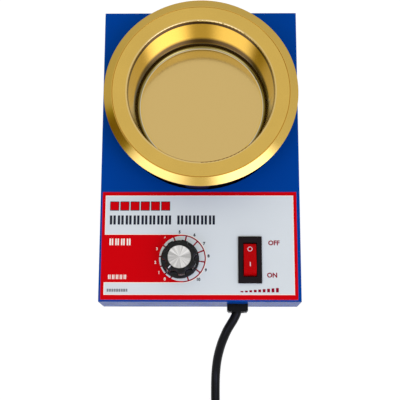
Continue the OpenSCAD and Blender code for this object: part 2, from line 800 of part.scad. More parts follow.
module knob_pointer() {
    low = knob_z + skirt_h - mark_t;
    color("white") translate(knob_axis) rotate([0, 0, pointer_angle]) {
        translate([cap_r + 0.6, -mark_w / 2 + 0.05, knob_top_z - mark_t])
            cube([lobe_r - 1.8 - cap_r, mark_w - 0.1, mark_t + 0.05]);
        translate([lobe_r - mark_t, -mark_w / 2 + 0.05, low])
            cube([skirt_r - lobe_r - 0.4, mark_w - 0.1, mark_t + 0.05]);
        translate([lobe_r - mark_t, -mark_w / 2 + 0.05, low])
            cube([mark_t + 0.05, mark_w - 0.1, knob_h - skirt_h - 1.9]);
    }
}

module knob_set_screw() {
    tip = shaft_r - flat_depth;
    color("#55585c") translate(knob_axis) rotate([0, 0, pointer_angle]) translate([0, 0, set_screw_z])
        rotate([0, -90, 0]) translate([0, 0, tip]) difference() {
            cylinder(r = 1.5, h = 6);
            translate([0, 0, 5.5]) cube([4, 0.6, 2], center = true);
        }
}

// ---- switch ----

module switch_housing() {
    color("#202022") translate(switch_axis) difference() {
        union() {
            translate([0, 0, face_z]) chamfered_block(bezel_w, bezel_l, bezel_h, 0.7);
            translate([-body_w / 2, -body_l / 2, body_z]) cube([body_w, body_l, face_z - body_z + tiny]);
            // Snap wings that hold the housing under the cover
            for (s = [-1, 1]) scale([1, s, 1]) translate([-3, body_l / 2, 0]) rotate([90, 0, 90])
                linear_extrude(6)
                    polygon([[-tiny, inner_z - 6], [1.1, inner_z - seat], [-tiny, inner_z - seat]]);
        }
        translate([-well_w / 2, -lip_l / 2, well_z]) cube([well_w, lip_l, 20]);
        translate([-well_w / 2, -well_l / 2, well_z]) cube([well_w, well_l, pivot_z + 3.6 - well_z]);
        translate([0, 0, pivot_z]) rotate([0, 90, 0])
            cylinder(r = rocker_pin_r + pin_fit, h = well_w + 2.8, center = true);
    }
}

// The rocker seen from its side, about its pivot, with its ends round the pivot
module rocker_section() {
    rise = rocker_dip / 9.2;
    intersection() {
        circle(rocker_r);
        polygon([[-14, -rocker_low], [14, -rocker_low], [14, rocker_face + 4.8 * rise],
            [0, rocker_face - rocker_dip], [-14, rocker_face + 4.8 * rise]]);
    }
}

// At rest the front end stands up, which is OFF
module switch_rocker() {
    color("#c4000f") translate(switch_axis) translate([0, 0, pivot_z]) rotate([-rocker_tilt, 0, 0]) {
        rotate([90, 0, 90]) linear_extrude(rocker_w, center = true) rocker_section();
        rotate([0, 90, 0]) cylinder(r = rocker_pin_r, h = well_w + 2.2, center = true);
    }
}

module switch_terminals() {
    color("#c9b26a") translate(switch_axis)
        for (x = [-blade_dx, blade_dx], y = [-blade_dy, blade_dy])
            translate([x, y, body_z - blade[2] / 2]) cube(blade, center = true);
}

// ---- electronics ----

module control_board() {
    color("#2f6b3a") difference() {
        translate([board_x, board_y, board_z]) cube(board);
        at_board_holes() cylinder(r = m3_hole, h = 2 * board_z);
    }
}

module board_spacers() {
    color("#e6e6e2") at_board_holes() translate([0, 0, floor_z]) difference() {
        cylinder(r = 3.2, h = board_gap);
        translate([0, 0, -1]) cylinder(r = m3_hole, h = board_gap + 2);
    }
}

// Screws up through the base plate, the spacers and the board, each with its nut
module board_screws() {
    color("#b9bcc0") at_board_holes() {
        translate([0, 0, foot_h]) mirror([0, 0, 1]) screw(m3, board_top - foot_h + m3_nut[1] + 1);
        translate([0, 0, board_top]) nut(m3_nut, m3[0] - tiny);
    }
}

// An extruded heat sink with upright fins
module heat_sink() {
    fins = 5;
    step = (sink[1] - sink_fin) / (fins - 1);
    color("#aeb2b6") difference() {
        translate([sink_x, sink_y, board_top]) union() {
            translate([sink[0] - sink_web, 0, 0]) cube([sink_web, sink[1], sink[2]]);
            for (i = [0:fins - 1]) translate([0, i * step, 0])
                cube([sink[0] - sink_web + tiny, sink_fin, sink[2]]);
        }
        translate([sink_x + sink[0] - sink_web - 1, triac_y, board_top + 13]) rotate([0, 90, 0])
            cylinder(r = m3[0] + pin_fit, h = sink_web + 2);
    }
}

module triac() {
    color("#26262a") translate([sink_x + sink[0], triac_y, board_top]) difference() {
        union() {
            translate([0, -5, 2]) cube([1.3, 10, 13.5]);
            translate([1.3 - tiny, -5, 2]) cube([3.1, 10, 8]);
            for (i = [-1:1]) translate([1.9, i * 2.54 - 0.4, 0]) cube([0.6, 0.8, 2 + tiny]);
        }
        translate([-1, 0, 13]) rotate([0, 90, 0]) cylinder(r = m3_hole, h = 4);
    }
}

module triac_screw() {
    color("#b9bcc0") translate([sink_x + sink[0] + 1.3, triac_y, board_top + 13]) rotate([0, 90, 0])
        screw(m3, 1.3 + sink_web - 0.5);
}

module capacitor() {
    color("#c8a23a") translate([board_x + 27, board_y + 6.75, board_top])
        chamfered_block(18, 7.5, 11.5, 0.6);
}

// A toroid lying on the board
module choke_coil() {
    color("#b5651d") translate([choke_at[0], choke_at[1], board_top + 3.6]) rotate_extrude()
        translate([5.6, 0]) circle(3.5);
}

module dial_wires() {
    color("#c7c7c9") for (i = [-1:1]) {
        lug = knob_axis + [i * lug_step, pot_lug_y + 0.2, inner_z - can_h + 1.6];
        end = [board_x + board[0] - 7.5 + i * lug_step, board_y + board[1] - 12, board_top];
        tube([lug, lug - [0, 0, 3], end + [0, 0, 6], end], 0.7, wire_sides);
    }
}

// The floors of the block's screw wells, two at each pole
module at_poles() {
    for (i = [0:2], x = [-4.5, 4.5])
        translate([block_x + block[0] / 2 + x, pole_y(i), floor_z + block[2] - 4]) children();
}

module terminal_block() {
    color("#e9e6dc") difference() {
        translate([block_x, block_y, floor_z]) union() {
            cube([block[0], block[1], block[2] * 0.55]);
            for (i = [0:2]) translate([3, i * block_step + 2, 0])
                cube([block[0] - 6, block_step - 4, block[2]]);
        }
        at_poles() cylinder(r = 2, h = 5);
        at_block_screws() translate([0, 0, floor_z - 1]) cylinder(r = m3_hole, h = block[2]);
        at_block_screws() translate([0, 0, floor_z + block[2] * 0.55])
            cylinder(r = m3[1] + seat, h = block[2]);
    }
}

module terminal_screws() {
    color("#c9b26a") at_poles() difference() {
        cylinder(r = 1.9, h = 3);
        translate([0, 0, 3]) cube([5, 0.6, 1.4], center = true);
    }
}

module block_screws() {
    color("#b9bcc0") at_block_screws() {
        translate([0, 0, floor_z + block[2] * 0.55]) screw(m3, block[2] * 0.55 + sheet_t + m3_nut[1] + 0.6);
        translate([0, 0, foot_h - m3_nut[1]]) nut(m3_nut, m3[0] - tiny);
    }
}

// From the cord to the block, over the block to the switch, and from the switch to the board
module live_wires() {
    start = [relief_x + 1.4, cord_end_y, entry_z + 0.8];
    block_in = [block_x, pole_y(0), wire_z - 1.5];
    block_out = block_in + [block[0], 0, 0];
    over = [block_out[0], block_out[1], floor_z + block[2] + 2.6];
    blade_z = body_z - 0.7 * blade[2];
    right = [switch_x + blade_dx + blade[0] / 2, switch_y - blade_dy, blade_z];
    left = [switch_x - blade_dx - blade[0] / 2, switch_y - blade_dy, blade_z];
    board_end = [board_x + board[0] - 4, board_y + 24, board_top];
    color("#7a4a26") {
        tube([start, start + [0, 1.5, 0], block_in + [-7, 0.4, 2.5], block_in + [-2, 0, 0], block_in],
            wire_r, wire_sides);
        tube([block_out, block_out + [1.4, 0, 0], block_out + [2.9, 0, 2.5],
            over + [2.9, 0, -2], over + [0, 1, 0], right + [3, 1.5, -0.9],
            right + [2, 0, 0], right], wire_r, wire_sides);
        tube([left, left + [-2, 0, 0], left + [-9, 6, -3], board_end + [7, -2, 5],
            board_end + [0, 0, 3.5], board_end], wire_r, wire_sides);
    }
}

// From the cord to the block, and the jumper between its second and third pole
module neutral_wires() {
    start = [relief_x - 1.4, cord_end_y, entry_z + 0.8];
    block_in = [block_x, pole_y(1), wire_z - 1.5];
    block_out = block_in + [block[0], 0, 0];
    far_out = block_out + [0, block_step, 0];
    color("#2f62b5") {
        tube([start, start + [0, 2, 0], [block_x - 12, cord_end_y + 12, wire_z],
            block_in + [-3, 0, 0], block_in], wire_r, wire_sides);
        tube([block_out, block_out + [2, 0, 0], block_out + [3, 2, 0],
            far_out + [3, -2, 0], far_out + [2, 0, 0], far_out], wire_r, wire_sides);
    }
}

// From the cord to the lug under the earth nut
module earth_wire() {
    start = [relief_x, cord_end_y, entry_z - 1.6];
    lug = [earth_x, earth_y, floor_z + 1];
    color("#8fae2c") {
        tube([start, start + [0, 1.5, 0], start + [-0.6, 4, -3], lug + [3, -18, 2],
            lug + [0, -10, 0.6], lug + [0, -6.5, 0.2]], wire_r, wire_sides);
        difference() {
            union() {
                translate([earth_x, earth_y, floor_z]) cylinder(r = 4, h = 1);
                translate([earth_x - 1.4, earth_y - 8, floor_z]) cube([2.8, 5, 1]);
            }
            translate([earth_x, earth_y, floor_z - 1]) cylinder(r = m4_hole, h = 3);
        }
    }
}

module earth_screw() {
    color("#c9b26a") translate([earth_x, earth_y, foot_h]) mirror([0, 0, 1])
        screw(m4, sheet_t + m4_nut[1] + 2.5);
}

module earth_nut() {
    color("#c9b26a") translate([earth_x, earth_y, floor_z + 1]) nut(m4_nut, m4[0] + pin_fit);
}

// ---- cord, coil and plug ----

// A moulded bushing: its head outside, its collar behind the wall, its mouth flared for the cord
module strain_relief() {
    color("#141415") translate([relief_x, front_y, entry_z]) rotate([90, 0, 0]) difference() {
        union() {
            linear_extrude(relief_out - 0.8) rounded_rect(relief_w, relief_h, 1.6);
            linear_extrude(relief_out) rounded_rect(relief_w - 1.4, relief_h - 1.4, 1.4);
            translate([0, 0, -sheet_t - 1]) cylinder(r = neck_r, h = sheet_t + 1 + tiny);
            translate([0, 0, -sheet_t - seat - collar_l])
                cylinder(r1 = neck_r - 0.6, r2 = collar_r, h = collar_l);
        }
        translate([0, 0, -20]) cylinder(r = cord_r + pin_fit, h = 40);
        translate([0, 0, relief_out - mouth_l])
            cylinder(r1 = cord_r + pin_fit, r2 = mouth_r, h = mouth_l + tiny);
    }
}

// The cord's sheath inside the case
module cord_inner_end() {
    color("#141415") translate([relief_x, lay_y, entry_z]) rotate([-90, 0, 0])
        cylinder(r = cord_r, h = cord_end_y - lay_y);
}

module mains_cord() {
    color("#141415") tube(cord_out, cord_r, cord_sides);
}

module cord_coil() {
    h = coil_rows * cord_d;
    color("#141415") translate([coil_at[0], coil_at[1], coil_low + h / 2]) rotate_extrude($fn = 96)
        translate([(coil_in + coil_out) / 2, 0]) rounded_rect(coil_out - coil_in + cord_d, h, 2.4);
}

module coil_tie() {
    h = coil_rows * cord_d;
    w = coil_out - coil_in + cord_d;
    color("#e8e8e6") intersection() {
        translate([coil_at[0], coil_at[1], coil_low + h / 2]) rotate_extrude($fn = 96)
            translate([(coil_in + coil_out) / 2, 0]) difference() {
                rounded_rect(w + 2 * tie_t, h + 2 * tie_t, 2.4 + tie_t);
                rounded_rect(w + 2 * tiny, h + 2 * tiny, 2.4);
            }
        translate([coil_at[0] - 2 * coil_out, coil_at[1] - tie_w / 2, -1]) cube([2 * coil_out, tie_w, 40]);
    }
}

module plug_lead() {
    color("#141415") tube(cord_back, cord_r, cord_sides);
}

// Shapes along the plug's axis, from the plug's face back towards its tail
module along_plug() {
    translate([tail_at[0], plug_face_y, tail_at[2]]) rotate([-90, 0, 0]) children();
}

module plug_body() {
    front_l = plug_l * 0.42;
    color("#17181a") along_plug() difference() {
        union() {
            rotate_extrude($fn = 96) polygon([[0, 0], [plug_r - 0.8, 0], [plug_r, 0.8], [plug_r, front_l - 1],
                [plug_r - 1, front_l], [plug_r * 0.66, front_l + 5], [plug_r * 0.6, front_l + 10],
                [plug_r * 0.58, plug_l - 4], [plug_r * 0.45, plug_l], [0, plug_l]]);
            translate([0, 0, plug_l - tiny]) cylinder(r1 = tail_r + 1.6, r2 = tail_r, h = tail_l);
            for (i = [0:4]) translate([0, 0, plug_l + 2.5 + 3.6 * i])
                cylinder(r = tail_r + 2.1 - 0.3 * i, h = 1.8);
        }
        // Channels for the earth clips
        for (s = [-1, 1]) translate([0, s * plug_r, front_l / 2 - 1])
            cube([clip_w + 1, 4, front_l], center = true);
    }
}

module plug_pins() {
    color("#c9ccd0") along_plug() for (s = [-1, 1]) translate([s * pin_pitch / 2, 0, 0]) {
        translate([0, 0, -pin_l + 1]) cylinder(r = pin_r, h = pin_l - 1);
        translate([0, 0, -pin_l]) cylinder(r1 = pin_r - 1, r2 = pin_r, h = 1 + tiny);
    }
}

module plug_earth_clips() {
    front_l = plug_l * 0.42;
    color("#c9ccd0") along_plug() for (s = [-1, 1])
        translate([-clip_w / 2, s * (plug_r - 2) - (s < 0 ? clip_t : 0), 1])
            cube([clip_w, clip_t, front_l - 3]);
}

top_cover();
base_plate();
rubber_feet();
foot_screws();
foot_nuts();
cover_screws();
control_label();
crucible();
crucible_washer();
crucible_nut();
heater_band();
clamp_screw();
clamp_nut();
heater_leads();
insulation_wrap();
insulation_disc();
heat_jacket();
jacket_floor();
jacket_rivets();
jacket_spacers();
jacket_bolts();
jacket_nuts();
potentiometer();
bush_washer();
bush_nut();
knob_shaft();
control_knob();
knob_cap();
knob_pointer();
knob_set_screw();
switch_housing();
switch_rocker();
switch_terminals();
control_board();
board_spacers();
board_screws();
heat_sink();
triac();
triac_screw();
capacitor();
choke_coil();
dial_wires();
terminal_block();
terminal_screws();
block_screws();
live_wires();
neutral_wires();
earth_wire();
earth_screw();
earth_nut();
strain_relief();
cord_inner_end();
mains_cord();
cord_coil();
coil_tie();
plug_lead();
plug_body();
plug_pins();
plug_earth_clips();
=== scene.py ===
"""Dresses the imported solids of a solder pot: finishes, printed panel, mains cord, light and camera."""

import logging
import math
from dataclasses import dataclass, field
from enum import Enum
from typing import Callable, Sequence

import bmesh
import bpy
from bpy.types import Material, Node, NodeSocket, Object, World
from mathutils import Matrix, Vector


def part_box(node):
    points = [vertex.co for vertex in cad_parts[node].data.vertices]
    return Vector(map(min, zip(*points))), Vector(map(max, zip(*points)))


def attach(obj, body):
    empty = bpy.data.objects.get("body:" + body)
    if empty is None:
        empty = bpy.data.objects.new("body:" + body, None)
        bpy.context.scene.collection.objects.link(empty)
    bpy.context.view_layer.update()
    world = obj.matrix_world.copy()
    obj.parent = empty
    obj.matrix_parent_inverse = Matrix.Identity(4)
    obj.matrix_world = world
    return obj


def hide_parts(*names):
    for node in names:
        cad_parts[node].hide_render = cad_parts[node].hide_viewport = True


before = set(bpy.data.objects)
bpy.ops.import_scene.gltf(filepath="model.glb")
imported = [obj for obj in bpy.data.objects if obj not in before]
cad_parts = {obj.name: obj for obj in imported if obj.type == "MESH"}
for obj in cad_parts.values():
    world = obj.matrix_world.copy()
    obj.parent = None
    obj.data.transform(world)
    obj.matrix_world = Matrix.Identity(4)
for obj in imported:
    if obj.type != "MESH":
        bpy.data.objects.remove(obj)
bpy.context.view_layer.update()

LOG = logging.getLogger("solder_pot")
MM = 0.001
Colour = tuple[float, float, float]
Point = tuple[float, float, float]
Pair = tuple[float, float]
Spot = Pair
Outline = Sequence[Spot]
Value = float | Colour | Vector | NodeSocket


class Body(Enum):
    """The bodies that a piece can ride on."""

    CASE = "case"
    KNOB = "knob"
    ROCKER = "rocker"


class Grain(Enum):
    """The direction in which a metal's fine marks run."""

    NONE = "none"
    TURNED = "turned"
    ROLLED = "rolled"


def middle(node: str) -> Vector:
    """Returns the middle of a node's box at rest."""
    low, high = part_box(node)
    return (Vector(low) + Vector(high)) / 2


def highest(node: str) -> float:
    """Returns the height of a node's highest point at rest."""
    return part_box(node)[1][2]


POT_AXIS = middle("crucible")
KNOB_AXIS = middle("knob_cap")
SWITCH_AXIS = middle("switch_housing")
FILM_Z = highest("control_label")


# ---- materials ----


class Graph:
    """The nodes of a new material or world, with short calls that add and join them."""

    def __init__(self, owner: Material | World) -> None:
        """Starts with the owner's one plain shader.

        Args:
            owner: the new material or world.
        """
        owner.use_nodes = True
        self.owner = owner
        self.tree = owner.node_tree
        self.shader: Node = self.tree.nodes.get("Principled BSDF") or self.tree.nodes["Background"]

    def put(self, socket: NodeSocket, value: Value) -> None:
        """Joins a socket to another one, or sets its own value.

        Args:
            socket: the input to fill.
            value: an output socket, a number, or three numbers.
        """
        if isinstance(value, NodeSocket):
            self.tree.links.new(value, socket)
        elif isinstance(value, (int, float)):
            socket.default_value = value
        else:
            size = len(socket.default_value)
            socket.default_value = (*value, 1.0)[:size]

    def add(self, kind: str, *inputs: Value | None, **options: object) -> Node:
        """Adds a node.

        Args:
            kind: the node's type, without the words ShaderNode.
            inputs: what goes into its inputs in order; None leaves one as it is.
            options: the node's own settings.

        Returns:
            The new node.
        """
        node = self.tree.nodes.new("ShaderNode" + kind)
        for key, value in options.items():
            setattr(node, key, value)
        for socket, value in zip(node.inputs, inputs):
            if value is not None:
                self.put(socket, value)
        return node

    def math(self, operation: str, a: Value, b: Value = 0.0) -> NodeSocket:
        """Returns the result of a sum on two numbers."""
        return self.add("Math", a, b, operation=operation).outputs[0]

    def where(self) -> NodeSocket:
        """Returns the place on the piece, in metres."""
        return self.add("TexCoord").outputs["Object"]

    def offset(self, centre: Sequence[float]) -> NodeSocket:
        """Returns the place on the piece, measured from a centre."""
        return self.add("VectorMath", self.where(), Vector(centre), operation="SUBTRACT").outputs[0]

    def stretched(self, scale: Point, vector: NodeSocket | None = None) -> NodeSocket:
        """Returns the place with each axis scaled by its own factor."""
        return self.add("VectorMath", vector or self.where(), scale, operation="MULTIPLY").outputs[0]

    def noise(self, scale: float, detail: float = 3.0, rough: float = 0.5,
              vector: NodeSocket | None = None) -> NodeSocket:
        """Returns soft noise from 0 to 1.

        Args:
            scale: the waves in a metre.
            detail: the number of finer layers.
            rough: the strength of the finer layers.
            vector: where to read it; the place on the piece when None.

        Returns:
            The noise's output socket.
        """
        node = self.add("TexNoise", vector or self.where())
        self.put(node.inputs["Scale"], scale)
        self.put(node.inputs["Detail"], detail)
        self.put(node.inputs["Roughness"], rough)
        return node.outputs["Fac"]

    def span(self, value: NodeSocket, low: float, high: float, to_low: float, to_high: float) -> NodeSocket:
        """Returns a number moved from one range to another, held at the ends."""
        return self.add("MapRange", value, low, high, to_low, to_high).outputs[0]

    def blend(self, factor: Value, a: Value, b: Value) -> NodeSocket:
        """Blends two colours.

        Args:
            factor: 0 gives a and 1 gives b.
            a: the first colour.
            b: the second colour.

        Returns:
            The colour between them.
        """
        node = self.add("Mix", data_type="RGBA")
        self.put(node.inputs[0], factor)
        self.put(node.inputs[6], a)
        self.put(node.inputs[7], b)
        return node.outputs[2]

    def bump(self, height: NodeSocket, depth: float) -> NodeSocket:
        """Raises the surface by a height.

        Args:
            height: the height, from 0 to 1.
            depth: the real height of 1, in metres.

        Returns:
            The surface's normal.
        """
        node = self.add("Bump")
        self.put(node.inputs["Height"], height)
        self.put(node.inputs["Distance"], depth)
        return node.outputs[0]

    def both(self, a: NodeSocket, b: NodeSocket) -> NodeSocket:
        """Returns where two masks are both 1."""
        return self.math("MULTIPLY", a, b)

    def gloss(self, scale: float, detail: float, low: float, high: float) -> NodeSocket:
        """Returns a roughness that wanders between two values, at a noise's scale and detail."""
        return self.span(self.noise(scale, detail), 0.3, 0.7, low, high)

    def finish(self, **sockets: Value) -> Material | World:
        """Fills the shader's sockets.

        Args:
            sockets: the values by socket, with _ for each space in its name.

        Returns:
            The finished material or world.
        """
        for name, value in sockets.items():
            self.put(self.shader.inputs[name.replace("_", " ")], value)
        return self.owner


@dataclass(frozen=True)
class Finish:
    """A finish: its name and colour; each kind of finish draws its own material."""

    name: str
    colour: Colour

    def dimmed(self, share: float) -> Colour:
        """Returns the colour at a share of its brightness."""
        red, green, blue = self.colour
        return red * share, green * share, blue * share

    def draw(self, graph: Graph) -> Material:
        """Fills a material with the finish."""
        return graph.finish(Base_Color=self.colour)

    def material(self) -> Material:
        """Returns the finish's material, made once."""
        name = f"{self.name}_look"
        return bpy.data.materials.get(name) or self.draw(Graph(bpy.data.materials.new(name)))


@dataclass(frozen=True)
class Enamel(Finish):
    """Baked enamel: a smooth coat with a faint orange peel and dust in the gloss."""

    rough: float = 0.22
    specular: float = 0.3
    peel: float = 9e-6

    def draw(self, graph: Graph) -> Material:
        """Fills a material with the finish.

        Args:
            graph: the material's nodes.

        Returns:
            The material.
        """
        cloud = graph.noise(22, 3)
        peel = graph.noise(850, 2, 0.6)
        return graph.finish(
            Base_Color=graph.blend(cloud, self.dimmed(0.86), self.colour),
            Roughness=graph.gloss(60, 4, self.rough * 0.85, self.rough * 1.2),
            Specular_IOR_Level=self.specular,
            Normal=graph.bump(peel, self.peel))


@dataclass(frozen=True)
class Metal(Finish):
    """Bare or coated metal with turned or rolled marks."""

    rough: float = 0.28
    grain: Grain = Grain.NONE
    centre: Point = (0.0, 0.0, 0.0)
    marks: float = 6e-6
    smudge: float = 0.12
    coat: float = 0.0

    def lines(self, graph: Graph) -> NodeSocket:
        """Lays the metal's fine marks.

        Args:
            graph: the material's nodes.

        Returns:
            The marks' height, from 0 to 1.
        """
        place = graph.offset(self.centre)
        if self.grain is Grain.ROLLED:
            return graph.noise(1.0, 2, 0.6, graph.stretched((60, 1800, 900), place))
        if self.grain is Grain.TURNED:
            radius, height, _ = self.around(graph, place)
            node = graph.add("TexNoise", noise_dimensions="1D")
            graph.put(node.inputs["W"], graph.math("SUBTRACT", radius, height))
            graph.put(node.inputs["Scale"], 1400.0)
            return node.outputs["Fac"]
        return graph.noise(700, 3, 0.6)

    def around(self, graph: Graph, place: NodeSocket) -> tuple[NodeSocket, NodeSocket, NodeSocket]:
        """Measures a place about the upright axis.

        Args:
            graph: the material's nodes.
            place: the place, from a point on the axis.

        Returns:
            The distance from the axis, the height, and the outward direction.
        """
        parts = graph.add("SeparateXYZ", place).outputs
        flat = graph.add("CombineXYZ", parts[0], parts[1]).outputs[0]
        radius = graph.add("VectorMath", flat, operation="LENGTH").outputs["Value"]
        outward = graph.add("VectorMath", flat, operation="NORMALIZE").outputs[0]
        return radius, parts[2], outward

    def tint(self, graph: Graph) -> NodeSocket:
        """Returns the colour, a little darker where hands and heat have been."""
        clean = graph.span(graph.noise(38, 4, 0.6), 0.35, 0.65, 0, 1)
        return graph.blend(clean, self.dimmed(1 - self.smudge), self.colour)

    def draw(self, graph: Graph) -> Material:
        """Fills a material with the finish.

        Args:
            graph: the material's nodes.

        Returns:
            The material.
        """
        lines = self.lines(graph)
        return graph.finish(
            Base_Color=self.tint(graph),
            Metallic=1.0,
            Roughness=graph.span(lines, 0.3, 0.7, self.rough * 0.88, self.rough * 1.15),
            Coat_Weight=self.coat,
            Coat_Roughness=self.rough,
            Normal=graph.bump(lines, self.marks))


@dataclass(frozen=True)
class Band:
    """A span of distances, in metres, with soft edges outside it."""

    low: float
    high: float
    soft: float

    def mask(self, graph: Graph, distance: NodeSocket) -> NodeSocket:
        """Returns 1 where a distance lies in the band."""
        rise = graph.span(distance, self.low - self.soft, self.low, 0, 1)
        return graph.both(rise, graph.span(distance, self.high, self.high + self.soft, 1, 0))


@dataclass(frozen=True)
class Bowl(Metal):
    """A turned bowl with painted shade under its lip, a painted dark reflection at the foot of its wall,
    painted highlights on its lip and at the floor's edge, and a duller, matt-looking colour on its floor.

    The bands that end in _r are distances from the axis, those in _drop are distances below the rim, and
    those in _rise are distances above the floor.
    """

    # Painted dark colour: shade under the lip and dark reflection at the foot of the wall, painted into the
    # colour
    painted_dark: Colour = (0.026, 0.006, 0.0)
    wall_tint: Colour = (0.76, 0.60, 0.15)
    floor_tint: Colour = (0.66, 0.465, 0.165)
    # Painted highlight colour for the floor's edge and the lip
    painted_highlight: Colour = (1.0, 0.90, 0.68)
    rim_z: float = 0.0734
    floor_z: float = 0.0369
    wall_r: Band = Band(0.0440, 0.0503, 0.0004)
    wall_drop: Band = Band(0.0008, 0.0800, 0.0004)
    # Where the painted shade under the lip lies
    crease_drop: Band = Band(0.0010, 0.0038, 0.0005)
    # Where the painted dark reflection at the wall's foot lies; the thread band paints a slightly lighter
    # line in it
    foot_rise: Band = Band(0.0016, 0.0100, 0.0040)
    thread_rise: Band = Band(0.0044, 0.0052, 0.0010)
    # How dark the painted foot band is, and its lighter thread line
    foot_dark_share: float = 0.97
    thread_dark_share: float = 0.84
    floor_r: Pair = (0.0425, 0.0435)
    floor_rise: Pair = (0.0002, 0.0012)
    # Where the painted highlights lie: the floor's edge and the lip
    edge_r: Band = Band(0.0438, 0.0442, 0.0002)
    edge_rise: Pair = (0.0010, 0.0014)
    lip_r: Band = Band(0.0502, 0.0511, 0.0002)
    lip_drop: Pair = (0.0006, 0.0009)
    # How strong the painted highlight on the lip is
    lip_highlight: float = 0.18

    def tint(self, graph: Graph) -> NodeSocket:
        """Lays painted dark bands and painted highlights over the bowl's own colour.

        Args:
            graph: the material's nodes.

        Returns:
            The colour with its painted dark bands, its painted highlights on the edges and its duller floor.
        """
        radius, height, _ = self.around(graph, graph.offset((self.centre[0], self.centre[1], 0.0)))
        rise = graph.math("SUBTRACT", height, self.floor_z)
        drop = graph.math("SUBTRACT", self.rim_z, height)
        wall = graph.both(self.wall_r.mask(graph, radius), self.wall_drop.mask(graph, drop))
        crease = self.crease_drop.mask(graph, drop)
        thread = self.thread_rise.mask(graph, rise)
        foot = graph.both(self.foot_rise.mask(graph, rise),
                          graph.span(thread, 0, 1, self.foot_dark_share, self.thread_dark_share))
        # Painted shade and painted dark reflection: the crease under the lip and the foot of the wall
        painted_dark_mask = graph.both(wall, graph.math("MAXIMUM", crease, foot))
        floor = graph.both(graph.span(radius, *self.floor_r, 1, 0), graph.span(rise, *self.floor_rise, 1, 0))
        edge = graph.both(self.edge_r.mask(graph, radius), graph.span(rise, *self.edge_rise, 1, 0))
        lip = graph.both(self.lip_r.mask(graph, radius), graph.span(drop, *self.lip_drop, 1, 0))
        # Painted highlights on the floor's edge and on the lip
        highlight_mask = graph.math("MAXIMUM", edge, graph.math("MULTIPLY", lip, self.lip_highlight))
        colour = graph.blend(floor, super().tint(graph), self.floor_tint)
        colour = graph.blend(wall, colour, self.wall_tint)
        return graph.blend(painted_dark_mask, graph.blend(highlight_mask, colour, self.painted_highlight), self.painted_dark)


@dataclass(frozen=True)
class Spun(Metal):
    """A spun disc with painted reflection: bright and dark rays painted from its centre."""

    # How far the painted dark rays fall below the painted bright ones
    painted_ray_depth: float = 0.45
    ray_count: float = 2.6
    # How narrow and how deep the painted shade at the left and right is
    side_narrow: float = 14.0
    painted_side_shade: float = 0.6

    def tint(self, graph: Graph) -> NodeSocket:
        """Paints rays of highlight and reflected shade from the disc's centre.

        Args:
            graph: the material's nodes.

        Returns:
            The colour with its painted rays, with painted shade to the left and right.
        """
        _, _, outward = self.around(graph, graph.offset(self.centre))
        # Painted reflection: bright and dark rays fanning from the centre, minus the painted shade at the
        # sides
        painted_rays = graph.noise(self.ray_count, 3, 0.6, outward)
        across = graph.math("ABSOLUTE", graph.add("SeparateXYZ", outward).outputs[0])
        side = graph.math("MULTIPLY", graph.math("POWER", across, self.side_narrow), self.painted_side_shade)
        light = graph.math("SUBTRACT", graph.span(painted_rays, 0.36, 0.62, 0, 1), side)
        return graph.blend(light, self.dimmed(1 - self.painted_ray_depth), self.colour)


@dataclass(frozen=True)
class Moulding(Finish):
    """Moulded plastic or rubber with a fine grain."""

    rough: float = 0.42
    specular: float = 0.4
    grain: float = 700.0
    depth: float = 8e-6
    coat: float = 0.0

    def draw(self, graph: Graph) -> Material:
        """Fills a material with the finish.

        Args:
            graph: the material's nodes.

        Returns:
            The material.
        """
        grain = graph.noise(self.grain, 3, 0.6)
        cloud = graph.noise(70, 3)
        return graph.finish(
            Base_Color=graph.blend(cloud, self.dimmed(0.8), self.colour),
            Roughness=graph.gloss(120, 4, self.rough * 0.88, self.rough * 1.15),
            Specular_IOR_Level=self.specular,
            Coat_Weight=self.coat,
            Coat_Roughness=0.08,
            Normal=graph.bump(grain, self.depth))


@dataclass(frozen=True)
class Film(Finish):
    """Printed film: flat ink under a satin clear layer."""

    rough: float = 0.36
    specular: float = 0.02

    def draw(self, graph: Graph) -> Material:
        """Fills a material with the finish.

        Args:
            graph: the material's nodes.

        Returns:
            The material.
        """
        tone = graph.noise(30, 4)
        return graph.finish(
            Base_Color=graph.blend(tone, self.dimmed(0.955), self.colour),
            Roughness=graph.gloss(200, 3, self.rough * 0.9, self.rough * 1.1),
            Specular_IOR_Level=self.specular,
            Normal=graph.bump(graph.noise(1400, 2), 2.5e-6))


@dataclass(frozen=True)
class Fibre(Finish):
    """Pressed or woven fibre: mottled and dull, with crossing strands."""

    strand: float = 900.0

    def draw(self, graph: Graph) -> Material:
        """Fills a material with the finish.

        Args:
            graph: the material's nodes.

        Returns:
            The material.
        """
        thin, along, up = self.strand, self.strand * 0.12, self.strand * 0.3
        long = graph.noise(1.0, 4, 0.7, graph.stretched((thin, along, up)))
        cross = graph.noise(1.0, 4, 0.7, graph.stretched((along, thin, up)))
        height = graph.math("MAXIMUM", long, cross)
        return graph.finish(
            Base_Color=graph.blend(graph.span(height, 0.4, 0.7, 0, 1), self.dimmed(0.72), self.colour),
            Roughness=0.95,
            Specular_IOR_Level=0.1,
            Sheen_Weight=0.3,
            Normal=graph.bump(height, 1.5e-4))


BLUE = Enamel("case_enamel", (0.0001, 0.054, 0.295), specular=0.01)
BASE_BLUE = Enamel("base_enamel", (0.001, 0.04, 0.24), rough=0.35, specular=0.1)
JACKET_BLACK = Enamel("jacket_enamel", (0.006, 0.006, 0.0065), rough=0.34, specular=0.35)
# The crucible's colour carries painted shade, painted dark reflection and painted highlights
GOLD = Bowl("crucible_gold", (0.69, 0.455, 0.098), rough=0.12, grain=Grain.TURNED, centre=tuple(POT_AXIS),
            marks=1.2e-6, smudge=0.05, coat=0.12)
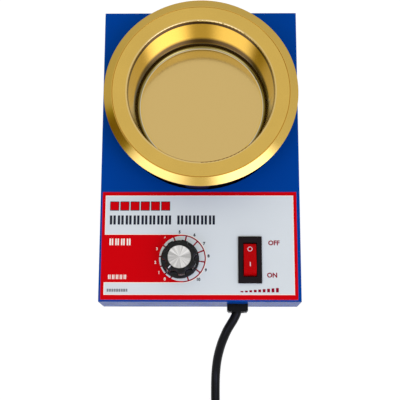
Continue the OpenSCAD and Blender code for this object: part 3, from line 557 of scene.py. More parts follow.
# The cap's colour carries painted highlight rays and painted shade
CAP_METAL = Spun("cap_metal", (0.86, 0.84, 0.80), rough=0.3, grain=Grain.TURNED, centre=tuple(KNOB_AXIS),
                 marks=2e-6)
ZINC = Metal("zinc_plate", (0.60, 0.61, 0.62), rough=0.32)
STEEL = Metal("plain_sheet", (0.42, 0.43, 0.45), rough=0.35, grain=Grain.ROLLED)
MICA = Metal("band_sheath", (0.58, 0.50, 0.36), rough=0.4, grain=Grain.ROLLED)
BRASS = Metal("terminal_brass", (0.66, 0.50, 0.20), rough=0.3)
NICKEL = Metal("pin_nickel", (0.72, 0.71, 0.68), rough=0.16)
SINK = Metal("sink_aluminium", (0.50, 0.51, 0.53), rough=0.38, grain=Grain.ROLLED)
FOOT_RUBBER = Moulding("foot_rubber", (0.013, 0.013, 0.013), rough=0.75, specular=0.2, depth=2e-5)
KNOB_BLACK = Moulding("knob_black", (0.002, 0.002, 0.0022), rough=0.24, specular=0.14, depth=3e-6, coat=0.2)
SWITCH_BLACK = Moulding("switch_black", (0.010, 0.0055, 0.0058), rough=0.4, specular=0.1)
SWITCH_RED = Moulding("switch_red", (0.52, 0.0005, 0.002), rough=0.2, specular=0.04, depth=3e-6)
SWITCH_MARK = Moulding("switch_mark", (0.86, 0.66, 0.66), rough=0.4)
POINTER_WHITE = Moulding("pointer_white", (0.85, 0.85, 0.84), rough=0.4)
RELIEF_BLACK = Moulding("relief_black", (0.004, 0.004, 0.0045), rough=0.28, specular=0.12)
CORD_BLACK = Moulding("cord_sheath", (0.0035, 0.0035, 0.004), rough=0.34, specular=0.14, grain=420.0,
                      depth=1.2e-5)
PLUG_BLACK = Moulding("plug_black", (0.009, 0.009, 0.0095), rough=0.45)
NYLON = Moulding("white_nylon", (0.74, 0.72, 0.66), rough=0.45)
BOARD = Moulding("board_green", (0.02, 0.13, 0.05), rough=0.3, depth=1.5e-5, grain=300.0)
CHIP = Moulding("chip_black", (0.018, 0.018, 0.02), rough=0.5)
CAPACITOR = Moulding("capacitor_case", (0.60, 0.34, 0.035), rough=0.25)
CHOKE = Moulding("choke_winding", (0.48, 0.15, 0.04), rough=0.3, depth=8e-5, grain=900.0)
WIRE_GREY = Moulding("wire_grey", (0.5, 0.5, 0.52), rough=0.35)
WIRE_BROWN = Moulding("wire_brown", (0.17, 0.065, 0.02), rough=0.35)
WIRE_BLUE = Moulding("wire_blue", (0.025, 0.11, 0.42), rough=0.35)
WIRE_GREEN = Moulding("wire_green", (0.25, 0.40, 0.03), rough=0.35)
WOOL = Fibre("ceramic_wool", (0.86, 0.84, 0.78))
SLEEVE = Fibre("glass_sleeve", (0.82, 0.80, 0.74), strand=2600.0)
TIE = Moulding("tie_white", (0.74, 0.74, 0.72), rough=0.4)
FILM_GREY = Film("film_grey", (0.70, 0.735, 0.68))
FILM_WHITE = Film("film_white", (0.94, 0.86, 0.70))
FILM_RED = Film("film_red", (0.63, 0.0003, 0.003))
FILM_DARK_RED = Film("film_dark_red", (0.28, 0.001, 0.016))
FILM_DARK = Film("film_dark", (0.022, 0.024, 0.032))

NODE_FINISHES: dict[Finish, tuple[str, ...]] = {
    BLUE: ("top_cover",),
    BASE_BLUE: ("base_plate",),
    JACKET_BLACK: ("heat_jacket",),
    GOLD: ("crucible",),
    CAP_METAL: ("knob_cap",),
    FILM_GREY: ("control_label",),
    STEEL: ("jacket_floor", "jacket_rivets"),
    MICA: ("heater_band",),
    BRASS: ("switch_terminals", "terminal_screws", "earth_screw", "earth_nut"),
    NICKEL: ("plug_pins", "plug_earth_clips"),
    SINK: ("heat_sink",),
    FOOT_RUBBER: ("rubber_feet",),
    NYLON: ("board_spacers", "terminal_block"),
    BOARD: ("control_board",),
    CHIP: ("triac",),
    CAPACITOR: ("capacitor",),
    CHOKE: ("choke_coil",),
    WIRE_GREY: ("dial_wires",),
    WIRE_BROWN: ("live_wires",),
    WIRE_BLUE: ("neutral_wires",),
    WIRE_GREEN: ("earth_wire",),
    WOOL: ("insulation_wrap", "insulation_disc"),
    SLEEVE: ("heater_leads",),
    POINTER_WHITE: ("knob_pointer",),
    CORD_BLACK: ("cord_inner_end",),
    TIE: ("coil_tie",),
}


# ---- meshes ----

# Edges sharper than this many degrees stay sharp
CREASE = 35.0


def dressed(obj: Object, finish: Finish, body: Body, slot: str, *replaced: str) -> Object:
    """Gives a new piece its finish and its body.

    Args:
        obj: the piece.
        finish: its finish.
        body: the body that it rides on.
        slot: the material slot that it stands for; not used.
        replaced: the nodes that it replaces.

    Returns:
        The piece.
    """
    obj.data.materials.clear()
    obj.data.materials.append(finish.material())
    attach(obj, body.value)
    if replaced:
        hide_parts(*replaced)
    LOG.info("piece %s on %s", obj.name, body.value)
    return obj


def object_from(name: str, mesh: bmesh.types.BMesh, smooth: float = CREASE) -> Object:
    """Turns a mesh in the making into an object of the scene.

    Args:
        name: the object's name.
        mesh: the mesh; it is freed.
        smooth: edges sharper than this many degrees stay sharp.

    Returns:
        The new object.
    """
    bmesh.ops.recalc_face_normals(mesh, faces=mesh.faces)
    data = bpy.data.meshes.new(name)
    mesh.to_mesh(data)
    mesh.free()
    data.shade_smooth()
    data.set_sharp_from_angle(angle=math.radians(smooth))
    obj = bpy.data.objects.new(name, data)
    bpy.context.scene.collection.objects.link(obj)
    return obj


def applied(obj: Object) -> Object:
    """Makes an object's modifiers part of its mesh.

    Args:
        obj: the object.

    Returns:
        The same object.
    """
    depsgraph = bpy.context.evaluated_depsgraph_get()
    data = bpy.data.meshes.new_from_object(obj.evaluated_get(depsgraph))
    obj.modifiers.clear()
    obj.data = data
    return obj


def softened(node: str, name: str, width: float) -> Object:
    """Copies a node's mesh and rounds its sharp edges.

    Args:
        node: the node to copy.
        name: the new piece's name.
        width: the width of the rounding, in metres.

    Returns:
        The new piece.
    """
    mesh = bmesh.new()
    mesh.from_mesh(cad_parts[node].data)
    bmesh.ops.remove_doubles(mesh, verts=mesh.verts, dist=1e-7)
    bmesh.ops.dissolve_limit(mesh, angle_limit=math.radians(1.0), verts=mesh.verts, edges=mesh.edges)
    obj = object_from(name, mesh, 40.0)
    bevel = obj.modifiers.new("edges", "BEVEL")
    bevel.width = width
    bevel.segments = 3
    bevel.limit_method = "ANGLE"
    bevel.angle_limit = math.radians(CREASE)
    bevel.harden_normals = True
    return applied(obj)


def lofted(name: str, rings: Sequence[Sequence[Vector]], smooth: float = CREASE) -> Object:
    """Lays a closed skin through rings of equally many points, from a pole to a pole.

    Args:
        name: the object's name.
        rings: the rings; a ring of one point is a pole.
        smooth: edges sharper than this many degrees stay sharp.

    Returns:
        The new object.
    """
    mesh = bmesh.new()
    rows = [[mesh.verts.new(point) for point in ring] for ring in rings]
    for low, high in zip(rows, rows[1:]):
        count = max(len(low), len(high))
        for i in range(count):
            j = (i + 1) % count
            corners = [low[i % len(low)], low[j % len(low)], high[j % len(high)], high[i % len(high)]]
            mesh.faces.new(list(dict.fromkeys(corners)))
    return object_from(name, mesh, smooth)


def flat_piece(name: str, outlines: Sequence[Outline], z: float, thick: float, grow: float = 0.0) -> Object:
    """Makes a thin flat piece from closed outlines; an outline inside another is a hole.

    Args:
        name: the object's name.
        outlines: closed outlines in millimetres, in the plan of the panel.
        z: the height of its lower face, in metres.
        thick: its thickness, in metres.
        grow: how far the outlines are moved outwards, in millimetres.

    Returns:
        The new object.
    """
    curve = bpy.data.curves.new(name, "CURVE")
    curve.dimensions = "2D"
    curve.fill_mode = "BOTH"
    curve.extrude = thick / 2
    curve.offset = grow * MM
    for outline in outlines:
        spline = curve.splines.new("POLY")
        spline.points.add(len(outline) - 1)
        for point, (x, y) in zip(spline.points, outline):
            point.co = (x * MM, y * MM, 0, 1)
        spline.use_cyclic_u = True
    return solid_from_curve(name, curve, Vector((0, 0, z + thick / 2)))


def solid_from_curve(name: str, curve: bpy.types.Curve, shift: Vector) -> Object:
    """Makes a closed mesh from a filled curve.

    Args:
        name: the object's name.
        curve: the curve.
        shift: how far the mesh is moved.

    Returns:
        The new object.
    """
    holder = bpy.data.objects.new(name + "_curve", curve)
    bpy.context.scene.collection.objects.link(holder)
    depsgraph = bpy.context.evaluated_depsgraph_get()
    data = bpy.data.meshes.new_from_object(holder.evaluated_get(depsgraph))
    bpy.data.objects.remove(holder)
    mesh = bmesh.new()
    mesh.from_mesh(data)
    bpy.data.meshes.remove(data)
    bmesh.ops.remove_doubles(mesh, verts=mesh.verts, dist=1e-6)
    bmesh.ops.translate(mesh, verts=mesh.verts, vec=shift)
    return object_from(name, mesh, 20.0)


# The height of a capital letter as a share of the built-in font's size
CAPITAL_SHARE = 0.70


def word(text: str, size: float, x: float, y: float) -> list[list[Spot]]:
    """Draws a short word or number, in millimetres, centred on a place.

    Args:
        text: the letters or digits.
        size: the height of a capital letter.
        x: the middle of the word across.
        y: the middle of the word along.

    Returns:
        The word's outlines.
    """
    curve = bpy.data.curves.new("word", "FONT")
    curve.body = text
    curve.size = size / CAPITAL_SHARE * MM
    curve.align_x = "CENTER"
    curve.align_y = "CENTER"
    curve.resolution_u = 4
    holder = bpy.data.objects.new("word", curve)
    bpy.context.scene.collection.objects.link(holder)
    bpy.context.view_layer.update()
    plain = holder.to_curve(bpy.context.evaluated_depsgraph_get(), apply_modifiers=False)
    outlines = []
    for spline in plain.splines:
        outline = []
        points = spline.bezier_points
        for i, start in enumerate(points):
            end = points[(i + 1) % len(points)]
            a, b, c, d = start.co, start.handle_right, end.handle_left, end.co
            for t in (0, 0.25, 0.5, 0.75):
                p = (1 - t) ** 3 * a + 3 * t * (1 - t) ** 2 * b + 3 * t * t * (1 - t) * c + t ** 3 * d
                outline.append((x + p.x / MM, y + p.y / MM))
        outlines.append(outline)
    bpy.data.objects.remove(holder)
    bpy.data.curves.remove(curve)
    return outlines


def rectangle(x0: float, x1: float, y0: float, y1: float, r: float = 0.0) -> list[Spot]:
    """Draws a rectangle.

    Args:
        x0: its left side.
        x1: its right side.
        y0: its front side.
        y1: its rear side.
        r: the radius of its corners.

    Returns:
        Its outline.
    """
    if r == 0:
        return [(x0, y0), (x1, y0), (x1, y1), (x0, y1)]
    corners = ((x1 - r, y0 + r, -90), (x1 - r, y1 - r, 0), (x0 + r, y1 - r, 90), (x0 + r, y0 + r, 180))
    return [spot for cx, cy, start in corners for spot in arc(cx, cy, r, start, start + 90, 3)]


def arc(cx: float, cy: float, r: float, start: float, end: float, steps: int = 24) -> list[Spot]:
    """Returns points along an arc, from one angle to another in degrees."""
    angles = [math.radians(start + (end - start) * i / steps) for i in range(steps + 1)]
    return [(cx + r * math.cos(a), cy + r * math.sin(a)) for a in angles]


def sin_cos(degrees: float) -> Pair:
    """Returns the sine and cosine of an angle in degrees."""
    return math.sin(math.radians(degrees)), math.cos(math.radians(degrees))


# ---- camera and light ----


@dataclass(frozen=True)
class Panel:
    """A soft round patch of light, or of shade, in the surroundings.

    It is at its full level within core degrees of its middle, and gone beyond reach degrees.
    """

    toward: Point
    reach: float
    core: float
    level: float

    def draw(self, graph: Graph, direction: NodeSocket) -> NodeSocket:
        """Adds the panel to the world.

        Args:
            graph: the world's nodes.
            direction: the direction looked in.

        Returns:
            The light that the panel adds in that direction.
        """
        axis = Vector(self.toward).normalized()
        near = graph.add("VectorMath", direction, axis, operation="DOT_PRODUCT").outputs["Value"]
        edge, core = (math.cos(math.radians(a)) for a in (self.reach, self.core))
        node = graph.add("MapRange", near, edge, core, 0.0, self.level, interpolation_type="SMOOTHSTEP")
        return node.outputs[0]


KEY = Panel(toward=(0.37, -0.37, 0.85), reach=21, core=4, level=2.7)
FILL = Panel(toward=(-0.41, -0.41, 0.81), reach=21, core=6, level=1.5)
DARK_CARD = Panel(toward=(-0.66, -0.03, 0.75), reach=17, core=5, level=-0.6)
LEFT_SHADE = Panel(toward=(-0.75, 0.25, 0.62), reach=40, core=10, level=-0.15)


@dataclass
class Studio:
    """A white sweep in soft light, and the camera above the front of the pot."""

    eye: Point = (0.007917, -0.165760, 0.655179)
    right: Point = (0.99991984, 0.00269683, -0.01237131)
    up: Point = (-0.0000339, 0.97762130, 0.21037253)
    forward: Point = (-0.0126618, 0.21035525, -0.97754302)
    lens: float = 81.3
    floor_size: float = 4.0
    shadow_share: float = 0.12
    white: float = 1.08
    level: float = 0.95
    glow_tint: Colour = (0.86, 0.95, 1.7)
    sky_height: Pair = (0.35, 0.92)
    sky_level: Pair = (0.74, 0.95)
    darkest: float = 0.02

    def build_camera(self) -> None:
        """Adds the camera and makes it the scene's own."""
        data = bpy.data.cameras.new("camera")
        data.lens = self.lens
        data.sensor_width = 36
        data.clip_start = 0.01
        camera = bpy.data.objects.new("camera", data)
        bpy.context.scene.collection.objects.link(camera)
        columns = Matrix((self.right, self.up, -Vector(self.forward))).transposed()
        camera.matrix_world = Matrix.Translation(self.eye) @ columns.to_4x4()
        bpy.context.scene.camera = camera

    def build_floor(self) -> None:
        """Adds the white floor, which shows a faint shadow."""
        graph = Graph(bpy.data.materials.new("floor_white"))
        graph.finish(Base_Color=(0.9, 0.9, 0.9), Roughness=0.9, Specular_IOR_Level=0.0)
        glow = graph.add("Emission", (1.0, 1.0, 1.0), self.white)
        path = graph.add("LightPath")
        seen = graph.math("MAXIMUM", path.outputs["Is Camera Ray"], path.outputs["Is Glossy Ray"])
        seen = graph.math("MAXIMUM", seen, path.outputs["Is Transmission Ray"])
        share = graph.math("MULTIPLY", seen, 1 - self.shadow_share)
        mix = graph.add("MixShader", share, graph.shader.outputs[0], glow.outputs[0])
        graph.put(graph.tree.nodes["Material Output"].inputs["Surface"], mix.outputs[0])
        mesh = bmesh.new()
        bmesh.ops.create_grid(mesh, x_segments=1, y_segments=1, size=self.floor_size / 2)
        floor = object_from("floor", mesh)
        floor.data.materials.append(graph.owner)

    def build_world(self) -> None:
        """Adds the surrounding light: pale above, dimmer low down, with soft panels in it."""
        world = bpy.data.worlds.new("studio")
        bpy.context.scene.world = world
        graph = Graph(world)
        direction = graph.add("TexCoord").outputs["Generated"]
        height = graph.add("SeparateXYZ", direction).outputs[2]
        pale = graph.span(height, *self.sky_height, *self.sky_level)
        glow = 0.0
        for panel in (KEY, FILL, DARK_CARD, LEFT_SHADE):
            glow = graph.math("ADD", glow, panel.draw(graph, direction))
        parts = []
        for share in self.glow_tint:
            part = graph.add("Math", glow, share, pale, operation="MULTIPLY_ADD").outputs[0]
            parts.append(graph.math("MAXIMUM", part, self.darkest))
        light = graph.add("CombineXYZ", *parts).outputs[0]
        path = graph.add("LightPath")
        seen = graph.math("MAXIMUM", path.outputs["Is Camera Ray"], path.outputs["Is Transmission Ray"])
        plain = (1 / self.level,) * 3
        graph.finish(Color=graph.blend(seen, light, plain), Strength=self.level)

    def build(self) -> None:
        """Builds the whole studio."""
        bpy.context.scene.view_settings.view_transform = "Standard"
        self.build_camera()
        self.build_floor()
        self.build_world()


# ---- cord, coil and plug ----


@dataclass
class MainsCord:
    """The mains cord: out of the strain relief, round its coil and into the plug.

    The points, and the sizes of the coil, are in millimetres.
    """

    diameter: float = 6.3 * MM
    out: Sequence[Point] = (
        (26, -106, 24), (26, -108, 24), (25.2, -111, 24), (23.2, -115, 23.4), (21, -118.5, 22.4),
        (18.9, -122, 21), (17, -126, 19), (15.3, -130, 16.6), (13.8, -134.5, 13.6), (12.6, -139, 10.6),
        (11.7, -144, 7.8), (11.1, -149.5, 5.4), (10.8, -155, 4), (10.7, -161, 3.4), (10.7, -168, 3.2),
        (10.8, -176, 3.2), (11, -186, 3.2), (11.2, -197, 3.3), (11.3, -209, 3.5), (11.3, -222, 3.6))
    back: Sequence[Point] = (
        (-31, -179.7, 9.9), (-20, -179.7, 9.9), (-9, -179.7, 10), (1, -179.7, 10.2), (9, -179.9, 10.7),
        (16.5, -181.2, 12), (23.5, -184.4, 13.8), (29.4, -189, 15.6), (33.6, -195, 17.2),
        (35.6, -202, 18.2), (36, -208, 18.5), (36, -214, 18.5))
    centre: Spot = (-31, -222)
    outer: float = 42.3
    pitch: float = 6.3
    layer_turns: int = 2
    layers: Pair = (3.6, 9.9)
    step_turns: float = 0.75
    step_inset: float = 1.5
    points_a_turn: int = 36
    splits: int = 3
    relief_edge: float = 0.4 * MM
    plug_edge: float = 0.5 * MM

    def coil(self) -> list[Point]:
        """Winds the coil: one layer inwards, a step up, and one layer outwards.

        Returns:
            The coil's points.
        """
        inner = self.outer - self.layer_turns * self.pitch
        (x, y), (low, high) = self.centre, self.layers
        step_end = self.layer_turns + self.step_turns
        total = step_end + self.layer_turns
        count = int(total * self.points_a_turn)
        points = []
        for i in range(1, count):
            turn = total * i / count
            rise = min(max((turn - self.layer_turns) / self.step_turns, 0), 1)
            if turn < self.layer_turns:
                radius = self.outer - self.pitch * turn
            elif turn < step_end:
                radius = inner - self.step_inset * math.sin(math.pi * rise)
            else:
                radius = inner + self.pitch * (turn - step_end)
            z = low + (high - low) * rise * rise * (3 - 2 * rise)
            angle = -2 * math.pi * turn
            points.append((x + radius * math.cos(angle), y + radius * math.sin(angle), z))
        return points

    def route(self) -> list[Vector]:
        """Joins the cord's three stretches into one smooth line.

        Returns:
            The whole centreline in metres, as close points.
        """
        rough = [Vector(p) * MM for p in (*self.out, *self.coil(), *self.back)]
        line = [rough[0]]
        for i in range(len(rough) - 1):
            a, b, c, d = (rough[min(max(k, 0), len(rough) - 1)] for k in (i - 1, i, i + 1, i + 2))
            for step in range(1, self.splits + 1):
                t = step / self.splits
                line.append(0.5 * (2 * b + (c - a) * t + (2 * a - 5 * b + 4 * c - d) * t * t
                                   + (3 * b - a - 3 * c + d) * t ** 3))
        return line

    def swept(self, line: Sequence[Vector]) -> Object:
        """Sweeps the cord's sheath along a line.

        Args:
            line: the centreline in metres.

        Returns:
            The sheath, as one round curve.
        """
        curve = bpy.data.curves.new("power_cord", "CURVE")
        curve.dimensions = "3D"
        curve.bevel_depth = self.diameter / 2
        curve.bevel_resolution = 5
        curve.use_fill_caps = True
        spline = curve.splines.new("POLY")
        spline.points.add(len(line) - 1)
        for point, place in zip(spline.points, line):
            point.co = (*place, 1)
        spline.use_smooth = True
        cord = bpy.data.objects.new("power_cord", curve)
        bpy.context.scene.collection.objects.link(cord)
        return cord

    def build(self) -> None:
        line = self.route()
        cord = self.swept(line)
        dressed(cord, CORD_BLACK, Body.CASE, "cord_black", "mains_cord", "cord_coil", "plug_lead")
        plug = softened("plug_body", "plug_moulding", self.plug_edge)
        dressed(plug, PLUG_BLACK, Body.CASE, "plug_black", "plug_body")
        relief = softened("strain_relief", "relief_moulding", self.relief_edge)
        dressed(relief, RELIEF_BLACK, Body.CASE, "relief_black", "strain_relief")


# ---- control panel ----


@dataclass(frozen=True)
class BlockRow:
    """A row of upright blocks, each split down its middle, in millimetres on the panel."""

    left: float
    front: float
    width: float
    height: float
    step: float
    count: int
    bar_share: float = 0.4

    def outlines(self) -> list[list[Spot]]:
        """Draws the row.

        Returns:
            The outlines of the two bars of each block.
        """
        bar = self.width * self.bar_share
        starts = [self.left + i * self.step for i in range(self.count)]
        return [rectangle(x, x + bar, self.front, self.front + self.height)
                for start in starts for x in (start, start + self.width - bar)]


@dataclass
class PanelPrint:
    """The print on the panel's film: fields of colour, the dial's scale and the switch's words.

    Places and sizes are in millimetres on the panel, and angles in degrees about the dial.
    """

    thick: float = 0.03 * MM
    field_box: tuple[float, float, float, float] = (-65.3, 64.4, -100.0, -31.2)
    pale_line: float = 0.5
    tab: tuple[float, float, float] = (-65.3, -91.5, -58.7)
    round_steps: int = 48
    dial: Spot = (-12.3, -75.1)
    ring_out: float = 16.4
    ring_w: float = 0.85
    ring_end: float = 86
    ring_in: float = 11.1
    overlap: float = 0.02
    tick_half: float = 0.5
    tick_r: float = 14.5
    ticks: Sequence[float] = (241, 223, 201, 175, 145, 111, 79, 48, 20, -9, -38, -73)
    number_r: float = 18.3
    number_h: float = 1.9
    pale_bold: float = 0.07
    dark_bold: float = 0.14
    on_tab: Pair = (110, 240)
    numbers: Sequence[tuple[str, float]] = (
        ("0", 231), ("1", 212), ("2", 189), ("3", 159), ("4", 130), ("5", 95), ("6", 62), ("7", 34), ("8", 5),
        ("9", -26), ("10", -52))
    heading: tuple[float, float, float, float] = (-61.7, -19.4, -41.4, -35.8)
    heading_count: int = 6
    heading_gap: float = 1.6
    heading_edge: float = 0.45
    heading_edge_round: float = 0.3
    heading_round: float = 0.2
    title: Sequence[BlockRow] = (
        BlockRow(-62.1, -51.6, 4.1, 6.4, 5.45, 8), BlockRow(-15.6, -51.6, 4.1, 6.4, 5.45, 5))
    tab_rows: Sequence[BlockRow] = (
        BlockRow(-62.0, -66.0, 2.6, 4.6, 3.95, 4), BlockRow(-62.4, -89.3, 1.7, 3.0, 2.65, 5))
    corner: Sequence[BlockRow] = (BlockRow(-63.0, -97.9, 1.05, 2.0, 1.6, 9),)
    words: Sequence[tuple[str, str, float, float]] = (
        ("off_word", "OFF", 50.6, -64.5), ("on_word", "ON", 49.2, -86.7))
    word_h: float = 3.1
    word_bold: float = 0.15
    steps_at: Spot = (27.6, -98.2)
    step_count: int = 9
    step_pitch: float = 3.0
    step_size: Pair = (1.9, 0.9)
    step_rise: float = 0.26
    step_round: float = 0.15

    def add(self, name: str, outlines: Sequence[Outline], finish: Film, layer: int = 0,
            bold: float = 0.0) -> None:
        """Adds one field of print on so many layers of ink, its lines bolder by so many millimetres."""
        piece = flat_piece(name, outlines, FILM_Z + layer * self.thick, self.thick, bold)
        dressed(piece, finish, Body.CASE, "label_print")

    def add_rows(self, name: str, rows: Sequence[BlockRow], finish: Film, layer: int) -> None:
        """Adds rows of blocks as one field of print."""
        self.add(name, [outline for row in rows for outline in row.outlines()], finish, layer)

    def build_fields(self) -> None:
        """Builds the border, its pale line and the tab beside the dial."""
        low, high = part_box("control_label")
        x0, x1, y0, y1 = self.field_box
        line = self.pale_line
        sheet = rectangle(*(v / MM for v in (low[0], high[0], low[1], high[1])))
        inside = rectangle(x0, x1, y0, y1)
        within_line = rectangle(x0 + line, x1 - line, y0 + line, y1 - line)
        self.add("print_border", [sheet, inside], FILM_RED)
        self.add("print_border_line", [inside, within_line], FILM_WHITE)
        left, front, back = self.tab
        reach = (back - front) / 2
        for name, more, finish, layer in (("print_tab_line", line, FILM_WHITE, 1),
                                          ("print_tab", 0.0, FILM_RED, 2)):
            end = arc(*self.dial, reach + more, -90, 90, self.round_steps)
            self.add(name, [[(left, front - more), *end, (left, back + more)]], finish, layer)

    def build_scale(self) -> None:
        """Builds the dial's ring, its segments, the lines between them and the numbers."""
        cx, cy = self.dial
        ticks = sorted(self.ticks)
        half = math.degrees(self.tick_half / self.tick_r)
        inner, outer = self.ring_in, self.ring_out - self.ring_w
        segments = [arc(cx, cy, outer, a + half, b - half) + arc(cx, cy, inner, b - half, a + half)
                    for a, b in zip(ticks, ticks[1:] + [ticks[0] + 360])]
        self.add("scale_segments", segments, FILM_GREY, 3)
        lap, end, steps = self.overlap, self.ring_end, self.round_steps
        lines = [arc(cx, cy, outer + lap, a - half, a + half, 3) + arc(cx, cy, inner, a + half, a - half, 3)
                 for a in ticks]
        ring = arc(cx, cy, self.ring_out, -end, end, steps) + arc(cx, cy, outer + 2 * lap, end, -end, steps)
        self.add("scale_lines", [*lines, ring], FILM_DARK_RED, 3)
        pale, dark = [], []
        low, high = self.on_tab
        for text, angle in self.numbers:
            sin, cos = sin_cos(angle)
            inks = pale if low < angle < high else dark
            inks.extend(word(text, self.number_h, cx + self.number_r * cos, cy + self.number_r * sin))
        self.add("scale_numbers_pale", pale, FILM_WHITE, 3, self.pale_bold)
        self.add("scale_numbers_dark", dark, FILM_DARK, 1, self.dark_bold)

    def build_heading(self) -> None:
        """Builds the heading's blocks, each on a dark edge."""
        x0, x1, y0, y1 = self.heading
        edge = self.heading_edge
        step = (x1 - x0) / self.heading_count
        lefts = [x0 + step * i for i in range(self.heading_count)]
        width = step - self.heading_gap
        edges = [rectangle(x - edge, x + width + edge, y0 - edge, y1 + edge, self.heading_edge_round)
                 for x in lefts]
        blocks = [rectangle(x, x + width, y0, y1, self.heading_round) for x in lefts]
        self.add("heading_edges", edges, FILM_DARK, 1)
        self.add("heading_blocks", blocks, FILM_RED, 2)

    def build_signs(self) -> None:
        """Builds the rows of blocks that stand for lettering, the switch's words and the heat's steps."""
        self.add_rows("title_blocks", self.title, FILM_DARK, 1)
        self.add_rows("tab_blocks", self.tab_rows, FILM_WHITE, 3)
        self.add_rows("corner_blocks", self.corner, FILM_DARK, 1)
        for name, text, x, y in self.words:
            self.add(name, word(text, self.word_h, x, y), FILM_DARK_RED, 1, self.word_bold)
        (x, y), (width, height) = self.steps_at, self.step_size
        rises = [(x + self.step_pitch * i, height + self.step_rise * i) for i in range(self.step_count)]
        steps = [rectangle(left, left + width, y, y + rise, self.step_round) for left, rise in rises]
        self.add("heat_steps", steps, FILM_DARK_RED, 1)

    def build(self) -> None:
        """Builds all the print."""
        self.build_fields()
        self.build_scale()
        self.build_heading()
        self.build_signs()


@dataclass
class DialKnob:
    """The lobed knob on its skirt, over the potentiometer's nut, in millimetres."""

    pointer: float = 226.0
    lobes: int = 7
    lobe_r: float = 11.8
    scallop_r: float = 3.4
    scallop_depth: float = 2.3
    skirt_r: float = 13.1
    skirt_h: float = 2.6
    edge: float = 1.0
    lobe_blend: float = 0.35
    root: float = 0.6
    skirt_edge: float = 0.5
    foot_edge: float = 0.3
    cap_r: float = 7.8
    cap_gap: float = 0.1
    cap_sink: float = 0.4
    well_r: float = 8.2
    well_h: float = 5.9
    bore_r: float = 3.05
    roof: float = 1.7
    screw_r: float = 1.55
    drill_out: float = 8.5
    drill_length: float = 12.0
    sides: int = 240
    smooth: float = 32.0
    box: tuple = field(default_factory=lambda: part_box("control_knob"))

    def outline(self, inset: float) -> Callable[[float], float]:
        """Draws the knob's lobes and scallops.

        Args:
            inset: how far the outline is moved inwards.

        Returns:
            A function that gives the outline's radius at an angle in radians.
        """
        reach = self.lobe_r - self.scallop_depth + self.scallop_r
        cut = self.scallop_r + inset
        step = 2 * math.pi / self.lobes

        def radius(angle: float) -> float:
            """Returns the outline's radius at an angle in radians."""
            turn = (angle % step) - step / 2
            full = self.lobe_r - inset
            side = reach * math.sin(turn)
            if abs(side) >= cut:
                return full
            hollow = reach * math.cos(turn) - math.sqrt(cut * cut - side * side)
            near = max(self.lobe_blend - abs(full - hollow), 0) / self.lobe_blend
            return min(full, hollow) - near * near * self.lobe_blend / 4

        return radius

    def point(self, r: float, angle: float, z: float) -> Vector:
        """Places a point on the knob.

        Args:
            r: its distance from the axis.
            angle: its angle from the pointer, in radians.
            z: its height above the knob's foot.

        Returns:
            The point in metres.
        """
        turn = angle + math.radians(self.pointer)
        return Vector((KNOB_AXIS.x + r * MM * math.cos(turn), KNOB_AXIS.y + r * MM * math.sin(turn),
                       self.box[0][2] + z * MM))

    def ring(self, radius: float | Callable[[float], float], z: float) -> list[Vector]:
        """Returns a ring of points at a height above the knob's foot."""
        angles = [2 * math.pi * i / self.sides for i in range(self.sides)]
        return [self.point(radius(angle) if callable(radius) else radius, angle, z) for angle in angles]

    def rings(self) -> list[list[Vector]]:
        """Draws the knob's section from the cap's seat outwards, down and in again.

        Returns:
            A ring of points for each step of the section.
        """
        top = (self.box[1][2] - self.box[0][2]) / MM
        seat = top - self.cap_sink
        under_roof = seat - self.roof
        well = self.cap_r + self.cap_gap
        rows = [[self.point(0, 0, seat)], self.ring(well, seat), self.ring(well, top - self.cap_gap),
                self.ring(well + self.cap_gap, top)]
        for sin, cos in map(sin_cos, range(0, 91, 15)):
            rows.append(self.ring(self.outline(self.edge * (1 - sin)), top - self.edge * (1 - cos)))
        for sin, cos in map(sin_cos, (0, 30, 60, 90)):
            rows.append(self.ring(self.outline(-self.root * (1 - cos)), self.skirt_h + self.root * (1 - sin)))
        shoulder_r, shoulder_z = self.skirt_r - self.skirt_edge, self.skirt_h - self.skirt_edge
        for sin, cos in map(sin_cos, range(0, 91, 18)):
            rows.append(self.ring(shoulder_r + self.skirt_edge * sin, shoulder_z + self.skirt_edge * cos))
        for r, z in ((self.skirt_r, self.foot_edge), (self.skirt_r - self.foot_edge, 0.0), (self.well_r, 0.0),
                     (self.well_r, self.well_h), (self.bore_r, self.well_h), (self.bore_r, under_roof)):
            rows.append(self.ring(r, z))
        return [*rows, [self.point(0, 0, under_roof)]]

    def drill(self) -> Object:
        """Makes a rod in the place of the set screw's hole, at the back of the knob.

        Returns:
            The rod, which the hole is cut with.
        """
        sin, cos = sin_cos(self.pointer + 180)
        axis = Vector((cos, sin, 0))
        mesh = bmesh.new()
        bmesh.ops.create_cone(mesh, cap_ends=True, segments=32, radius1=self.screw_r * MM,
                              radius2=self.screw_r * MM, depth=self.drill_length * MM)
        centre = Vector((KNOB_AXIS.x, KNOB_AXIS.y, middle("knob_set_screw").z))
        start = centre + axis * self.drill_out * MM
        place = Matrix.Translation(start) @ axis.to_track_quat("Z", "Y").to_matrix().to_4x4()
        bmesh.ops.transform(mesh, matrix=place, verts=mesh.verts)
        return object_from("drill", mesh)

    def build(self) -> None:
        """Builds the knob with the hole for its set screw."""
        knob = lofted("knob_moulding", self.rings(), self.smooth)
        drill = self.drill()
        cut = knob.modifiers.new("hole", "BOOLEAN")
        cut.operation = "DIFFERENCE"
        cut.solver = "EXACT"
        cut.object = drill
        applied(knob)
        bpy.data.objects.remove(drill)
        knob.data.set_sharp_from_angle(angle=math.radians(self.smooth))
        dressed(knob, KNOB_BLACK, Body.KNOB, "black_plastic", "control_knob")


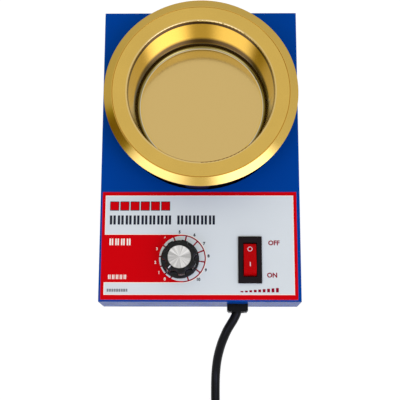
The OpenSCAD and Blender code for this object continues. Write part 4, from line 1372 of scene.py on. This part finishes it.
@dataclass
class RockerSwitch:
    """The rocker switch: its bezel, its rocker and the two marks on it, in millimetres."""

    tilt: float = 15.0
    bezel_edge: float = 0.25
    rocker_edge: float = 0.3
    ring_r: Pair = (1.7, 1.25)
    bar_half: Pair = (0.3, 1.6)
    mark_along: float = 5.6
    mark_thick: float = 0.06
    pivot_z: float = 39.9
    face_z: float = 7.73
    face_drop: float = 0.6
    face_run: float = 9.2

    def build(self) -> None:
        """Builds the bezel and the rocker with softened edges, then the marks."""
        bezel = softened("switch_housing", "switch_bezel", self.bezel_edge * MM)
        dressed(bezel, SWITCH_BLACK, Body.CASE, "switch_black", "switch_housing")
        rocker = softened("switch_rocker", "rocker_moulding", self.rocker_edge * MM)
        dressed(rocker, SWITCH_RED, Body.ROCKER, "switch_red", "switch_rocker")
        ring = [arc(0, self.mark_along, r, 0, 345, 23) for r in self.ring_r]
        across, along = self.bar_half
        bar = [rectangle(-across, across, -self.mark_along - along, -self.mark_along + along)]
        self.build_mark("off_mark", ring, 1)
        self.build_mark("on_mark", bar, -1)

    def build_mark(self, name: str, outlines: Sequence[Outline], side: int) -> None:
        """Lays one mark on the rocker's face.

        Args:
            name: the piece's name.
            outlines: its outlines about the rocker's pivot.
            side: 1 for the rear half of the face, -1 for the front half.
        """
        piece = flat_piece(name, outlines, 0.0, self.mark_thick * MM)
        slope = math.atan(self.face_drop / self.face_run) * side
        lift = (self.face_z - self.face_drop) * MM
        pivot = Vector((SWITCH_AXIS.x, SWITCH_AXIS.y, self.pivot_z * MM))
        place = (Matrix.Translation(pivot) @ Matrix.Rotation(math.radians(-self.tilt), 4, "X")
                 @ Matrix.Translation((0, 0, lift)) @ Matrix.Rotation(slope, 4, "X"))
        piece.data.transform(place)
        dressed(piece, SWITCH_MARK, Body.ROCKER, "switch_red")


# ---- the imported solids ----


@dataclass
class PackedSolids:
    """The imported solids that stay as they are, each with its finish."""

    finishes: dict[Finish, tuple[str, ...]] = field(default_factory=lambda: NODE_FINISHES)

    def build(self) -> None:
        """Gives each node its finish; a node without one of its own is zinc-plated steel."""
        by_node = {node: finish for finish, nodes in self.finishes.items() for node in nodes}
        for name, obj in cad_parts.items():
            finish = by_node.get(name, ZINC)
            obj.data.materials.clear()
            obj.data.materials.append(finish.material())
            LOG.info("node %s in %s", name, finish.name)


def main() -> None:
    """Builds the scene in order and reports each piece."""
    logging.basicConfig(level=logging.INFO, format="%(name)s: %(message)s")
    for part in (Studio(), MainsCord(), PackedSolids(), PanelPrint(), DialKnob(), RockerSwitch()):
        LOG.info("building %s", type(part).__name__)
        part.build()


if __name__ == "__main__":
    main()
